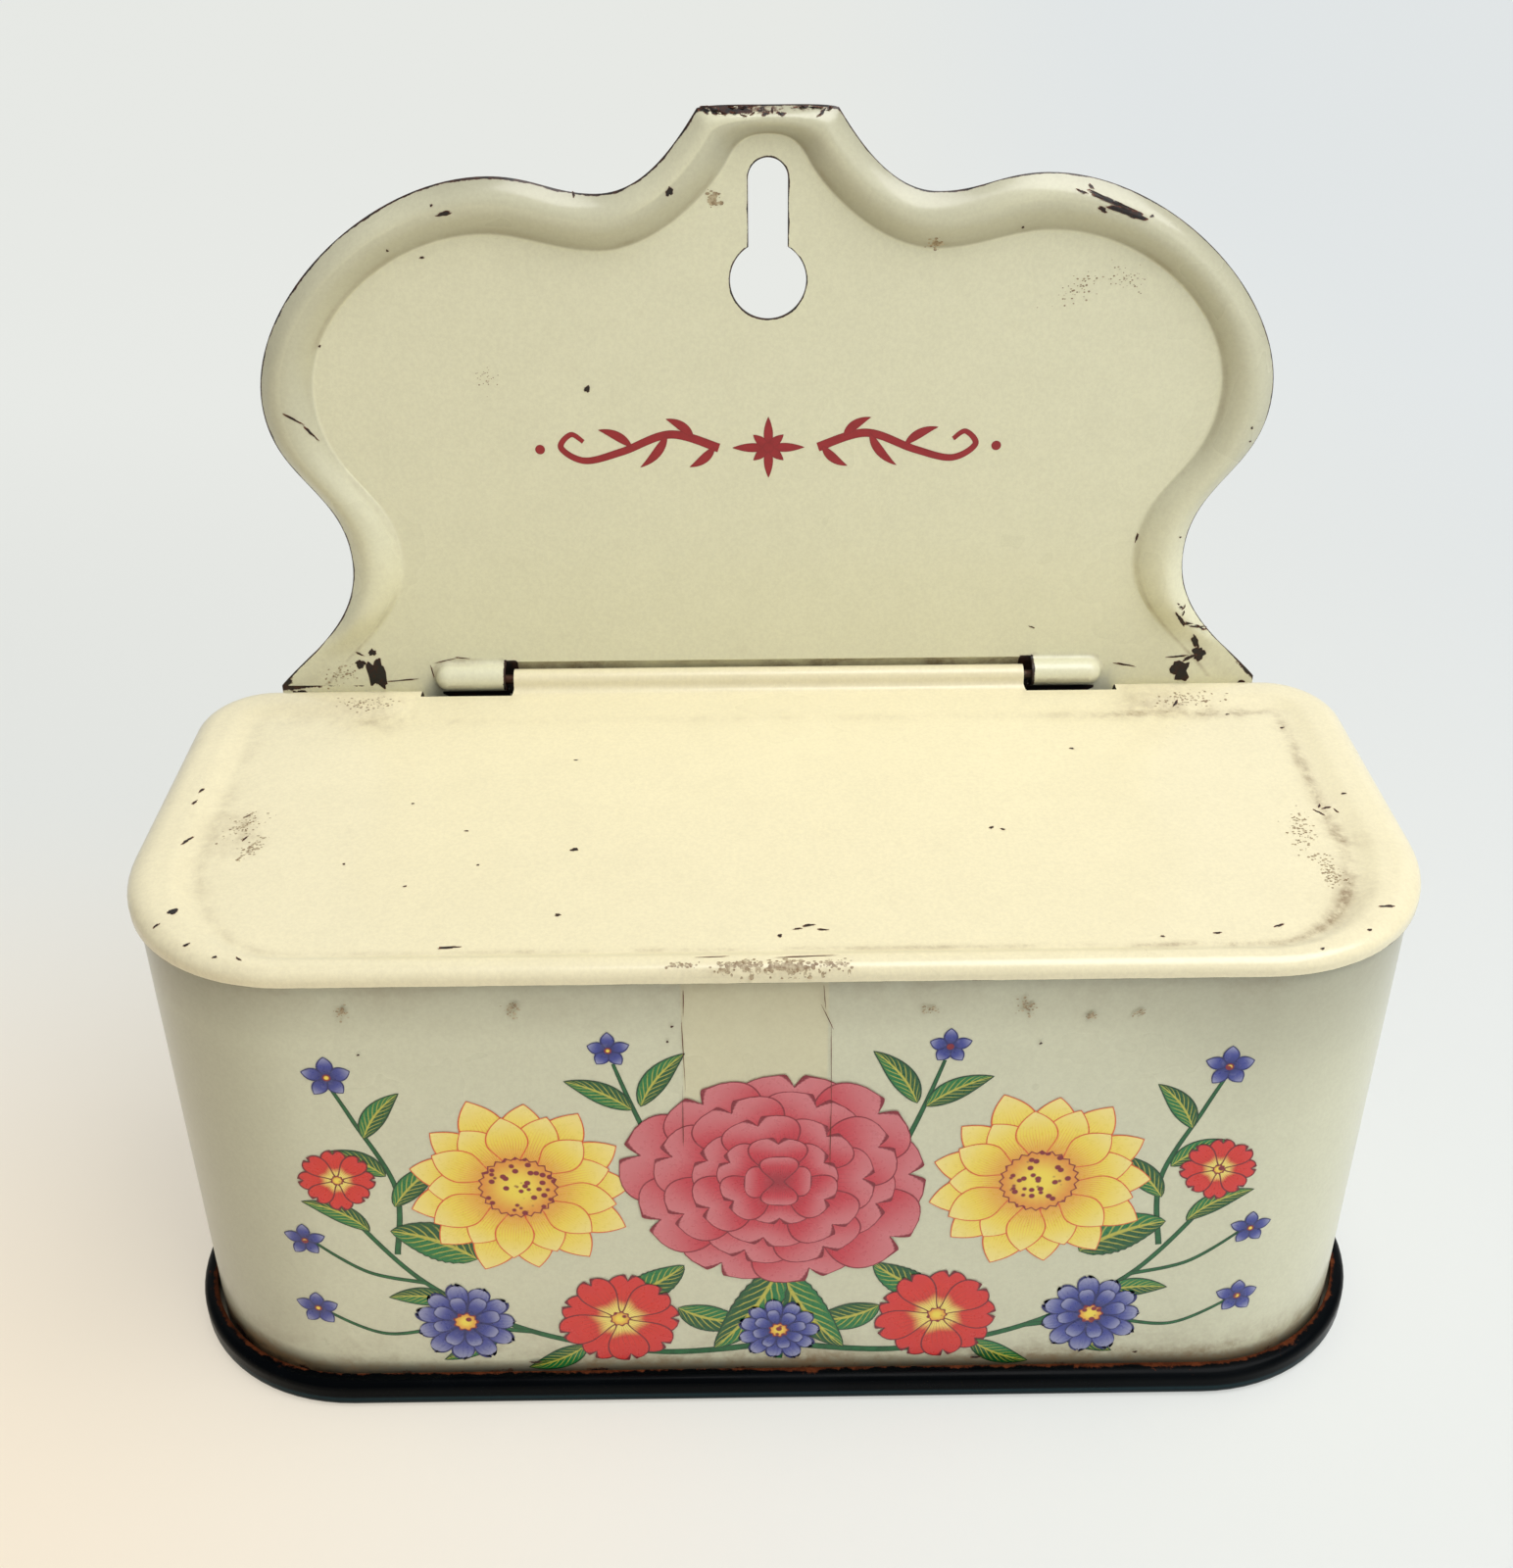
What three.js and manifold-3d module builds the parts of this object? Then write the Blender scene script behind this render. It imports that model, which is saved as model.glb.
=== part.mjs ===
// Wall match holder in painted tinplate: a rounded box with a hinged lid, hung by the keyhole
// in its tall scalloped back plate. Millimetres, +Z up, the front faces -Y, and the origin lies
// on the surface that the box stands on, at the middle of the base rim.
import * as THREE from 'three';
import { mergeVertices } from 'three/addons/utils/BufferGeometryUtils.js';
import Module from 'manifold-3d';

// Tinplate and clearance
const sheet = 0.5;
const gap = 0.3;

// Box body, over the outside of the wall
const bodyWidth = 157.6;
const bodyDepth = 61.2;
const frontCornerRadius = 22.8;
const rearCornerRadius = 9;
const rearLap = 12;

// Base pan: the rolled rim round the foot of the wall, and the raised bottom
const rimProud = 3.1;
const rimHeight = 4.2;
const rimFold = 1;
const panelRise = 3;
const flangeWidth = 1.4;

// Hinge: a straight wire in two pockets pressed out of the back plate
const hingeHeight = 75.8;
const hingeSetOff = 0.6;
const wireDiameter = 1.4;
const tongueHalfWidth = 36.6;
const tongueSideGap = 0.8;
const pocketLength = 10;
const pocketRise = 0.4;
const troughDepthClearance = 0.4;
const troughHeightClearance = 1.15;
const curlEnd = THREE.MathUtils.degToRad(190);

// Lid: a shallow tray with a raised border, which falls a little towards the front
const lidSlope = THREE.MathUtils.degToRad(3.2);
const lidHeight = 5;
const lidRollRadius = 3.3;
const lidBorder = 8.6;
const lidCrestWidth = 4.8;
const lidRecess = 0.7;
const lidPlateGap = 0.6;
const lidNotchGap = 0.8;
const humpClearance = 2;
const humpRamp = 3.6;
const skirtTaper = 7;

// Back plate outline. The lobe and the waist lie at a share of the height from the feet to the
// top edge, the notch and the shoulder at a drop below that edge; every half width is measured
// from the middle of the plate.
const plateTop = 151.6;
const footDrop = 0.9;
const plateSideLap = 0.1;
const topHalfWidth = 8.35;
const notchHalfWidth = 21.3;
const notchDrop = 9.7;
const shoulderHalfWidth = 34.6;
const shoulderDrop = 7.55;
const lobeHalfWidth = 66.4;
const lobeShare = 0.5345;
const waistHalfWidth = 57.3;
const waistShare = 0.245;

// Raised bead that follows the outline
const beadWidth = 7;
const beadHeight = 1.9;
const beadTopWidth = 4.7;
const beadFadeStart = 10.5;
const beadFadeEnd = 4;

// Keyhole
const keyholeDrop = 20.4;
const keyholeRadius = 4.85;
const slotHalfWidth = 2.48;
const slotTopDrop = 5.6;

// Smoothness of the round stretches
const frontCornerSteps = 12;
const rearCornerSteps = 7;
const foldSteps = 3;
const rollSteps = 5;
const slopeSteps = 5;
const rampSteps = 4;
const beadRings = 8;
const neckSteps = 8;
const lobeSteps = 12;
const keyholeSteps = 22;
const barrelSteps = 14;

// Sizes that follow from the ones above
const halfWidth = bodyWidth / 2;
const plateFace = (bodyDepth - sheet) / 2;
const wallFront = plateFace - bodyDepth;
const hingeY = plateFace - hingeSetOff;
const wireRadius = wireDiameter / 2;
const curlRadius = wireRadius + gap + sheet;
const pocketInner = wireRadius + gap + pocketRise;
const pocketOuter = pocketInner + sheet;
const pocketStart = tongueHalfWidth + tongueSideGap;
const pocketEnd = pocketStart + pocketLength;
const humpStart = pocketEnd + humpClearance;
const flangeBottom = sheet + gap;
const footX = halfWidth - rearCornerRadius - plateSideLap;
const footZ = hingeHeight - footDrop;
const lidCrest = lidRecess - (curlRadius - sheet);
const lidRearRadius = lidBorder + sheet + 0.5;
const wallTopDrop = lidRollRadius - lidCrest;
const far = 200;

// Paint and metal
const creamPaint = { color: 0xe9e2bd, roughness: 0.35, metalness: 0 };
const lidPaint = { color: 0xf3ebc6, roughness: 0.35, metalness: 0 };
const blackPaint = { color: 0x14110f, roughness: 0.4, metalness: 0 };
const steelWire = { color: 0x6f6a62, roughness: 0.45, metalness: 0.9 };

const wasm = await Module();
wasm.setup();

// Conversion between three.js geometry and solids that can be joined and cut
function toSolid(geometry) {
  const bare = geometry.clone();
  bare.deleteAttribute('normal');
  bare.deleteAttribute('uv');
  const merged = mergeVertices(bare, 1e-5);
  const vertProperties = new Float32Array(merged.attributes.position.array);
  const triVerts = new Uint32Array(merged.index.array);
  return new wasm.Manifold(new wasm.Mesh({ numProp: 3, vertProperties, triVerts }));
}

function toGeometry(solid) {
  const mesh = solid.getMesh();
  const geometry = new THREE.BufferGeometry();
  geometry.setAttribute('position', new THREE.BufferAttribute(mesh.vertProperties, 3));
  geometry.setIndex(new THREE.BufferAttribute(mesh.triVerts, 1));
  return geometry;
}

function fromFaces(points, faces) {
  const geometry = new THREE.BufferGeometry();
  const positions = points.flatMap((p) => [p.x, p.y, p.z]);
  geometry.setAttribute('position', new THREE.Float32BufferAttribute(positions, 3));
  geometry.setIndex(faces.flat());
  return geometry;
}

// A shape drawn in the (y, z) plane and extruded along X
function alongX(shape, from, to, steps) {
  const options = { depth: to - from, bevelEnabled: false, curveSegments: steps };
  const geometry = new THREE.ExtrudeGeometry(shape, options);
  const turn = new THREE.Matrix4().makeBasis(
    new THREE.Vector3(0, 1, 0),
    new THREE.Vector3(0, 0, 1),
    new THREE.Vector3(1, 0, 0),
  );
  return geometry.applyMatrix4(turn).translate(from, 0, 0);
}

function block(x0, x1, y0, y1, z0, z1) {
  const geometry = new THREE.BoxGeometry(x1 - x0, y1 - y0, z1 - z0);
  return toSolid(geometry.translate((x0 + x1) / 2, (y0 + y1) / 2, (z0 + z1) / 2));
}

// Plan view outline with two front and two rear corners, anticlockwise from above.
// Stops are extra points on the rear straight, given by their distance from the middle.
function roundedPlan({ half, front, rear, frontRadius, rearRadius, stops = [] }) {
  const points = [];
  const corner = (x, y, radius, start, steps) => {
    for (let i = 0; i <= steps; i += 1) {
      const angle = start + (i / steps) * (Math.PI / 2);
      points.push(new THREE.Vector2(x + radius * Math.cos(angle), y + radius * Math.sin(angle)));
    }
  };
  const [fr, rr] = [frontRadius, rearRadius];
  corner(-half + fr, front + fr, fr, Math.PI, frontCornerSteps);
  corner(half - fr, front + fr, fr, 1.5 * Math.PI, frontCornerSteps);
  corner(half - rr, rear - rr, rr, 0, rearCornerSteps);
  [...stops].sort((a, b) => b - a).forEach((x) => points.push(new THREE.Vector2(x, rear)));
  [...stops].sort((a, b) => a - b).forEach((x) => points.push(new THREE.Vector2(-x, rear)));
  corner(-half + rr, rear - rr, rr, Math.PI / 2, rearCornerSteps);
  return points;
}

// Skin over a row of closed rings with equal point counts; the first and last ring are capped
// or, with closed true, joined to each other
function loft(rings, closed) {
  const count = rings[0].length;
  const points = rings.flat();
  const faces = [];
  const spans = closed ? rings.length : rings.length - 1;
  for (let r = 0; r < spans; r += 1) {
    const lower = r * count;
    const upper = ((r + 1) % rings.length) * count;
    for (let i = 0; i < count; i += 1) {
      const j = (i + 1) % count;
      faces.push([lower + i, lower + j, upper + j]);
      faces.push([lower + i, upper + j, upper + i]);
    }
  }
  if (!closed) {
    const cap = (ring, start, flip) => {
      const middle = new THREE.Vector3();
      ring.forEach((p) => middle.addScaledVector(p, 1 / count));
      points.push(middle);
      const centre = points.length - 1;
      for (let i = 0; i < count; i += 1) {
        const j = (i + 1) % count;
        faces.push(flip ? [centre, start + j, start + i] : [centre, start + i, start + j]);
      }
    };
    cap(rings[0], 0, true);
    cap(rings[rings.length - 1], (rings.length - 1) * count, false);
  }
  return fromFaces(points, faces);
}

// Polyline with its inner corners rounded; each corner is [u, v, radius]
function filletPath(corners) {
  const points = [];
  corners.forEach(([u, v, radius = 0], i) => {
    const here = new THREE.Vector2(u, v);
    if (radius === 0) {
      points.push(here);
      return;
    }
    const [before, after] = [corners[i - 1], corners[i + 1]];
    const toBefore = new THREE.Vector2(before[0] - u, before[1] - v).normalize();
    const toAfter = new THREE.Vector2(after[0] - u, after[1] - v).normalize();
    const halfAngle = Math.acos(toBefore.dot(toAfter)) / 2;
    const reach = radius / Math.tan(halfAngle);
    const start = here.clone().addScaledVector(toBefore, reach);
    const end = here.clone().addScaledVector(toAfter, reach);
    const toCentre = toBefore.clone().add(toAfter).normalize();
    const centre = here.clone().addScaledVector(toCentre, radius / Math.sin(halfAngle));
    const a0 = start.clone().sub(centre).angle();
    let sweep = end.clone().sub(centre).angle() - a0;
    if (sweep > Math.PI) sweep -= 2 * Math.PI;
    if (sweep < -Math.PI) sweep += 2 * Math.PI;
    for (let s = 0; s <= foldSteps; s += 1) {
      const angle = a0 + (sweep * s) / foldSteps;
      points.push(new THREE.Vector2(Math.cos(angle), Math.sin(angle))
        .multiplyScalar(radius).add(centre));
    }
  });
  return points;
}

// The same polyline moved sideways, to the right of its direction of travel
function offsetPath(path, distance) {
  const normal = (a, b) => new THREE.Vector2(b.y - a.y, a.x - b.x).normalize();
  return path.map((p, i) => {
    const before = i > 0 ? normal(path[i - 1], p) : normal(p, path[i + 1]);
    const after = i < path.length - 1 ? normal(p, path[i + 1]) : before;
    const mitre = before.clone().add(after).normalize();
    return p.clone().addScaledVector(mitre, distance / mitre.dot(before));
  });
}

// Plan view ring at an offset outside the wall; the rear also clears the lap of wall and plate
function wallRing(offset, z) {
  const inside = Math.min(Math.max(-offset / sheet, 0), 1);
  const rear = plateFace + sheet + offset - inside * sheet;
  const plan = roundedPlan({
    half: halfWidth + offset,
    front: wallFront - offset,
    rear,
    frontRadius: frontCornerRadius + offset,
    rearRadius: rearCornerRadius + offset,
  });
  return plan.map((p) => new THREE.Vector3(p.x, p.y, z));
}

// Wrapped wall: an open strip that starts and ends in laps on the face of the back plate
function wallStrip(outerOffset, innerOffset, rearEnd) {
  const [outer, inner] = [outerOffset, innerOffset];
  const strip = new THREE.Shape();
  const centreRearX = halfWidth - rearCornerRadius;
  const centreRearY = plateFace - rearCornerRadius;
  const centreFrontX = halfWidth - frontCornerRadius;
  const centreFrontY = wallFront + frontCornerRadius;
  const right = 0;
  const front = -Math.PI / 2;
  const back = Math.PI / 2;
  strip.moveTo(rearEnd, plateFace + inner);
  strip.lineTo(rearEnd, plateFace + outer);
  strip.absarc(centreRearX, centreRearY, rearCornerRadius + outer, back, right, true);
  strip.absarc(centreFrontX, centreFrontY, frontCornerRadius + outer, right, front, true);
  strip.absarc(-centreFrontX, centreFrontY, frontCornerRadius + outer, front, -Math.PI, true);
  strip.absarc(-centreRearX, centreRearY, rearCornerRadius + outer, Math.PI, back, true);
  strip.lineTo(-rearEnd, plateFace + outer);
  strip.lineTo(-rearEnd, plateFace + inner);
  strip.absarc(-centreRearX, centreRearY, rearCornerRadius + inner, back, Math.PI, false);
  strip.absarc(-centreFrontX, centreFrontY, frontCornerRadius + inner, Math.PI, -front * 3, false);
  strip.absarc(centreFrontX, centreFrontY, frontCornerRadius + inner, front, right, false);
  strip.absarc(centreRearX, centreRearY, rearCornerRadius + inner, right, back, false);
  strip.closePath();
  return strip;
}

function extrudeUp(shape, from, to) {
  const options = { depth: to - from, bevelEnabled: false, curveSegments: frontCornerSteps };
  return toSolid(new THREE.ExtrudeGeometry(shape, options).translate(0, 0, from));
}

// Everything above the sloping top edge of the wall
function aboveWall() {
  const slab = new THREE.BoxGeometry(2 * far, 2 * far, far);
  slab.translate(0, 0, far / 2 - wallTopDrop);
  slab.rotateX(lidSlope);
  slab.translate(0, hingeY, hingeHeight);
  return toSolid(slab);
}

function boxBody() {
  const lapEnd = halfWidth - rearCornerRadius - rearLap;
  const flangeEnd = halfWidth - rearCornerRadius;
  const wall = extrudeUp(wallStrip(0, -sheet, lapEnd), flangeBottom, hingeHeight);
  const flangeShape = wallStrip(flangeWidth, -sheet / 2, flangeEnd);
  const flange = extrudeUp(flangeShape, flangeBottom, flangeBottom + sheet);
  return toGeometry(wall.add(flange).subtract(aboveWall()));
}

// Base pan: the bottom sheet runs down inside the wall, round its flange and back to the wall
function basePan() {
  const half = sheet / 2;
  const innerLeg = -sheet - gap - half;
  const outerLeg = rimProud - half;
  const path = filletPath([
    [innerLeg - 3 * rimFold, panelRise + half],
    [innerLeg, panelRise + half, rimFold],
    [innerLeg, half, rimFold * 0.6],
    [outerLeg, half, rimFold],
    [outerLeg, rimHeight - half, rimFold],
    [gap + half, rimHeight - half],
  ]);
  const under = offsetPath(path, half);
  const over = offsetPath(path, -half);
  const rings = [...under, ...over.reverse()].map((p) => wallRing(p.x, p.y));
  return loft(rings, false);
}

// Hinge parts in section, with the wire at the origin of the (y, z) plane
function curlSection(length) {
  const inner = curlRadius - sheet;
  const section = new THREE.Shape();
  section.moveTo(-length, -inner);
  section.lineTo(-length, -curlRadius);
  section.absarc(0, 0, curlRadius, -Math.PI / 2, curlEnd, false);
  section.absarc(0, 0, inner, curlEnd, -Math.PI / 2, true);
  section.closePath();
  return section;
}

function hingeWire() {
  const halfLength = pocketEnd - pocketOuter;
  const wire = new THREE.CylinderGeometry(wireRadius, wireRadius, 2 * halfLength, barrelSteps);
  return wire.rotateZ(Math.PI / 2).translate(0, hingeY, hingeHeight);
}

// Half barrel pressed forward out of the plate, open towards the middle, round at its far end
function pocketForm(radius, back) {
  const z = hingeHeight + pocketRise;
  const section = new THREE.Shape();
  section.moveTo(back, z - radius);
  section.lineTo(back, z + radius);
  section.absarc(hingeY, z, radius, Math.PI / 2, 1.5 * Math.PI, false);
  section.closePath();
  const end = pocketEnd - pocketOuter;
  const barrel = toSolid(alongX(section, pocketStart, end, barrelSteps));
  const dome = toSolid(new THREE.SphereGeometry(radius, 2 * barrelSteps, barrelSteps)
    .rotateZ(Math.PI / 2).translate(end, hingeY, z));
  const stem = toSolid(new THREE.CylinderGeometry(radius, radius, back - hingeY, 2 * barrelSteps)
    .translate(end, (back + hingeY) / 2, z));
  return barrel.add(dome).add(stem);
}

// Trough pressed backward between the pockets, which gives the lid's curl room to turn
function troughForm(growth) {
  const deep = curlRadius + troughDepthClearance + growth;
  const high = curlRadius + troughHeightClearance + growth;
  const section = new THREE.Shape();
  section.moveTo(wallFront, hingeHeight + high);
  section.lineTo(wallFront, hingeHeight - high);
  section.absellipse(hingeY, hingeHeight, deep, high, -Math.PI / 2, Math.PI / 2, false, 0);
  section.closePath();
  return toSolid(alongX(section, -pocketStart, pocketStart, barrelSteps));
}

// Right half of the plate's outline, from the middle of the top edge down to the foot
function outlineHalf() {
  const rise = plateTop - footZ;
  const v = (x, z) => new THREE.Vector2(x, z);
  const notch = v(notchHalfWidth, plateTop - notchDrop);
  const shoulder = v(shoulderHalfWidth, plateTop - shoulderDrop);
  const lobe = v(lobeHalfWidth, footZ + lobeShare * rise);
  const waist = v(waistHalfWidth, footZ + waistShare * rise);
  const w = beadWidth;
  const outer = [
    [v(0, plateTop), v(topHalfWidth / 3, plateTop), v(topHalfWidth - 1, plateTop),
      v(topHalfWidth, plateTop - 0.3)],
    [v(topHalfWidth, plateTop - 0.3), v(topHalfWidth + 3.6, plateTop - 5.2),
      v(notch.x - 5.4, notch.y), notch],
    [notch, v(notch.x + 5.2, notch.y), v(shoulder.x - 5.6, shoulder.y), shoulder],
    [shoulder, v(shoulder.x + 15, shoulder.y), v(lobe.x, lobe.y + 0.17 * rise), lobe],
    [lobe, v(lobe.x, lobe.y - 0.137 * rise), v(waist.x, waist.y + 0.137 * rise), waist],
    [waist, v(waist.x, waist.y - 0.117 * rise), v(footX - 4.6, footZ + 5), v(footX, footZ)],
  ];
  const topIn = plateTop - beadTopWidth;
  const inner = [
    [v(0, topIn), v(1.4, topIn), v(3, topIn - 0.4), v(4.2, topIn - 2)],
    [v(4.2, topIn - 2), v(8, topIn - 7.2), v(notch.x - 7, notch.y - w), v(notch.x, notch.y - w)],
    [v(notch.x, notch.y - w), v(notch.x + 5.2, notch.y - w),
      v(shoulder.x - 4, shoulder.y - w), v(shoulder.x + 1, shoulder.y - w)],
    [v(shoulder.x + 1, shoulder.y - w), v(shoulder.x + 13, shoulder.y - w),
      v(lobe.x - w, lobe.y + 0.143 * rise), v(lobe.x - w, lobe.y + 0.8)],
    [v(lobe.x - w, lobe.y + 0.8), v(lobe.x - w, lobe.y - 0.143 * rise),
      v(waist.x - w, waist.y + 0.143 * rise), v(waist.x - w, waist.y)],
    [v(waist.x - w, waist.y), v(waist.x - w, waist.y - 0.104 * rise),
      v(footX - 1.5 * w, footZ + 5), v(footX - w, footZ)],
  ];
  const steps = [2, neckSteps, neckSteps, lobeSteps, neckSteps, neckSteps];
  const sample = (pieces) => pieces.flatMap((p, i) => {
    const points = new THREE.CubicBezierCurve(...p).getPoints(steps[i]);
    return i === 0 ? points : points.slice(1);
  });
  return { outer: sample(outer), inner: sample(inner) };
}

function mirrored(half) {
  const left = half.slice(1).reverse().map((p) => new THREE.Vector2(-p.x, p.y));
  return [...left, ...half];
}

function keyholePoints() {
  const centre = plateTop - keyholeDrop;
  const slotCentre = plateTop - slotTopDrop - slotHalfWidth;
  const meet = Math.asin(slotHalfWidth / keyholeRadius);
  const points = [];
  for (let i = 0; i <= keyholeSteps; i += 1) {
    const angle = Math.PI / 2 + meet + ((2 * Math.PI - 2 * meet) * i) / keyholeSteps;
    points.push(new THREE.Vector2(
      keyholeRadius * Math.cos(angle),
      centre + keyholeRadius * Math.sin(angle),
    ));
  }
  for (let i = 0; i <= keyholeSteps / 2; i += 1) {
    const angle = (2 * Math.PI * i) / keyholeSteps;
    points.push(new THREE.Vector2(
      slotHalfWidth * Math.cos(angle),
      slotCentre + slotHalfWidth * Math.sin(angle),
    ));
  }
  return points;
}

// Height of the bead over the flat of the plate, across its width and down its fading foot
function beadLift(across, z) {
  const fade = THREE.MathUtils.smoothstep(z, footZ + beadFadeEnd, footZ + beadFadeStart);
  return beadHeight * fade * Math.sin(Math.PI * across) ** 1.3;
}

// Plate as one sheet: a band of rings under the bead, and a flat field inside it with the keyhole
function plateSheet() {
  const half = outlineHalf();
  const outer = mirrored(half.outer);
  const inner = mirrored(half.inner);
  const count = outer.length;
  const points = [];
  const lift = [];
  const add = (x, z, h) => {
    points.push(new THREE.Vector2(x, z));
    lift.push(h);
    return points.length - 1;
  };
  const rings = [];
  for (let k = 0; k <= beadRings; k += 1) {
    const across = k / beadRings;
    rings.push(outer.map((p, i) => {
      const q = p.clone().lerp(inner[i], across);
      return add(q.x, q.y, beadLift(across, q.y));
    }));
  }
  const lowerRight = add(footX, flangeBottom, 0);
  const lowerLeft = add(-footX, flangeBottom, 0);
  const hole = keyholePoints().map((p) => add(p.x, p.y, 0));
  const rightEnd = rings.map((ring) => ring[count - 1]);
  const leftEnd = rings.map((ring) => ring[0]);
  const field = [lowerLeft, lowerRight, ...rightEnd];
  field.push(...[...rings[beadRings]].reverse().slice(1, -1), ...leftEnd.reverse());

  const faces = [];
  for (let k = 0; k < beadRings; k += 1) {
    for (let i = 0; i < count - 1; i += 1) {
      const [a, b] = [rings[k][i], rings[k][i + 1]];
      const [c, d] = [rings[k + 1][i + 1], rings[k + 1][i]];
      faces.push([a, b, c], [a, c, d]);
    }
  }
  const pick = (ids) => ids.map((id) => points[id]);
  const ids = [...field, ...hole];
  THREE.ShapeUtils.triangulateShape(pick(field), [pick(hole)])
    .forEach((face) => faces.push(face.map((i) => ids[i])));

  // Front faces turn clockwise seen along -Z of the drawing plane, that is from the front
  const turned = faces.map(([a, b, c]) => {
    const ab = points[b].clone().sub(points[a]);
    const ac = points[c].clone().sub(points[a]);
    return ab.cross(ac) > 0 ? [a, b, c] : [a, c, b];
  });
  const total = points.length;
  const corners = [
    ...points.map((p, i) => new THREE.Vector3(p.x, plateFace - lift[i], p.y)),
    ...points.map((p, i) => new THREE.Vector3(p.x, plateFace + sheet - lift[i], p.y)),
  ];
  const skin = [...turned, ...turned.map(([a, b, c]) => [a + total, c + total, b + total])];

  // Walls along every edge that only one front face uses
  const seen = new Set(turned.flatMap(([a, b, c]) => [`${a}:${b}`, `${b}:${c}`, `${c}:${a}`]));
  turned.forEach((face) => face.forEach((a, i) => {
    const b = face[(i + 1) % 3];
    if (!seen.has(`${b}:${a}`)) {
      skin.push([b, a, a + total], [b, a + total, b + total]);
    }
  }));
  return fromFaces(corners, skin);
}

function backPlate() {
  const back = plateFace + sheet;
  let plate = toSolid(plateSheet());
  const flange = block(-footX, footX, plateFace, back + flangeWidth,
    flangeBottom, flangeBottom + sheet);
  const middle = plateFace + sheet / 2;
  const ahead = block(-far, far, -far, middle, 0, far);
  const behind = block(-far, far, middle, far, 0, far);
  plate = plate.add(flange).add(troughForm(sheet).intersect(behind));
  plate = plate.subtract(troughForm(0));
  [1, -1].forEach((side) => {
    const place = (solid) => (side > 0 ? solid : solid.mirror([1, 0, 0]));
    plate = plate.add(place(pocketForm(pocketOuter, middle).intersect(ahead)));
    plate = plate.subtract(place(pocketForm(pocketInner, back + sheet)));
  });
  return toGeometry(plate);
}

// Section of the lid's rim from the raw lower edge over the roll and down to the panel,
// as [distance in from the outline, height], with the top of the border at height 0
function lidProfile() {
  const path = [new THREE.Vector2(0, -lidHeight)];
  for (let i = 0; i <= rollSteps; i += 1) {
    const angle = (Math.PI / 2) * (i / rollSteps);
    path.push(new THREE.Vector2(
      lidRollRadius * (1 - Math.cos(angle)),
      lidRollRadius * (Math.sin(angle) - 1),
    ));
  }
  for (let i = 0; i <= slopeSteps; i += 1) {
    const t = i / slopeSteps;
    path.push(new THREE.Vector2(
      THREE.MathUtils.lerp(lidCrestWidth, lidBorder, t),
      -lidRecess * THREE.MathUtils.smoothstep(t, 0, 1),
    ));
  }
  return path;
}

// The border sinks to the level of the panel between the two rear humps
function humpFactor(x, y) {
  const rampTop = humpStart + humpRamp;
  const nearRear = y > -2 * lidBorder;
  return nearRear ? THREE.MathUtils.smoothstep(Math.abs(x), humpStart, rampTop) : 1;
}

// Lid in the hinge's own frame: the wire runs through the origin and the panel lies level
function lidTray() {
  const lapOut = gap + sheet;
  const tilt = (lidHeight + curlRadius) * Math.tan(lidSlope);
  const front = -(bodyDepth - hingeSetOff) / Math.cos(lidSlope) - lapOut - tilt;
  const stops = [humpStart - humpRamp];
  for (let i = 0; i <= rampSteps; i += 1) {
    stops.push(humpStart + (humpRamp * i) / rampSteps);
  }
  const ring = (p, level) => {
    const plan = roundedPlan({
      half: halfWidth + lapOut - p.x,
      front: front + p.x,
      rear: hingeSetOff - lidPlateGap - p.x,
      frontRadius: frontCornerRadius + lapOut - p.x,
      rearRadius: lidRearRadius - p.x,
      stops,
    });
    return plan.map((q) => {
      const rise = Math.max(p.y - level, 0);
      const z = Math.min(p.y, level) + rise * humpFactor(q.x, q.y);
      return new THREE.Vector3(q.x, q.y, z + lidCrest);
    });
  };
  const outside = lidProfile();
  const inside = offsetPath(outside, sheet);
  const rings = [
    ...inside.reverse().map((p) => ring(p, -lidRecess - sheet)),
    ...outside.map((p) => ring(p, -lidRecess)),
  ];
  return toSolid(loft(rings, false));
}

function lid() {
  const notch = -(pocketOuter + lidNotchGap);
  const cornerStart = hingeSetOff - lidPlateGap - lidRearRadius;
  const trim = gap - wallTopDrop;
  const lipEnd = lidCrest - lidHeight;

  // The skirt sweeps up to the roll in front of the rear corners
  const sweep = new THREE.Shape();
  sweep.moveTo(cornerStart - skirtTaper, -far);
  sweep.lineTo(cornerStart - skirtTaper, lipEnd - gap);
  sweep.bezierCurveTo(
    cornerStart - skirtTaper / 2, lipEnd,
    cornerStart - skirtTaper / 3, trim,
    cornerStart, trim,
  );
  sweep.lineTo(far, trim);
  sweep.lineTo(far, -far);
  sweep.closePath();
  const sweepCut = toSolid(alongX(sweep, -far, far, rearCornerSteps));

  const tongue = toSolid(alongX(
    curlSection(lidBorder),
    -tongueHalfWidth,
    tongueHalfWidth,
    barrelSteps,
  ));
  const rearCut = block(-humpStart, humpStart, notch, far, -far, far);
  const solid = lidTray().subtract(sweepCut).subtract(rearCut).add(tongue);
  return toGeometry(solid);
}

function part(name, geometry, finish) {
  const mesh = new THREE.Mesh(geometry, new THREE.MeshStandardMaterial(finish));
  mesh.name = name;
  return mesh;
}

const holder = new THREE.Group();
holder.add(part('back_plate', backPlate(), creamPaint));
holder.add(part('box_body', boxBody(), creamPaint));
holder.add(part('base_pan', basePan(), blackPaint));
holder.add(part('hinge_wire', hingeWire(), steelWire));

const hinge = new THREE.Group();
hinge.position.set(0, hingeY, hingeHeight);
hinge.rotation.x = lidSlope;
hinge.add(part('lid', lid(), lidPaint));
holder.add(hinge);

export default holder;
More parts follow.
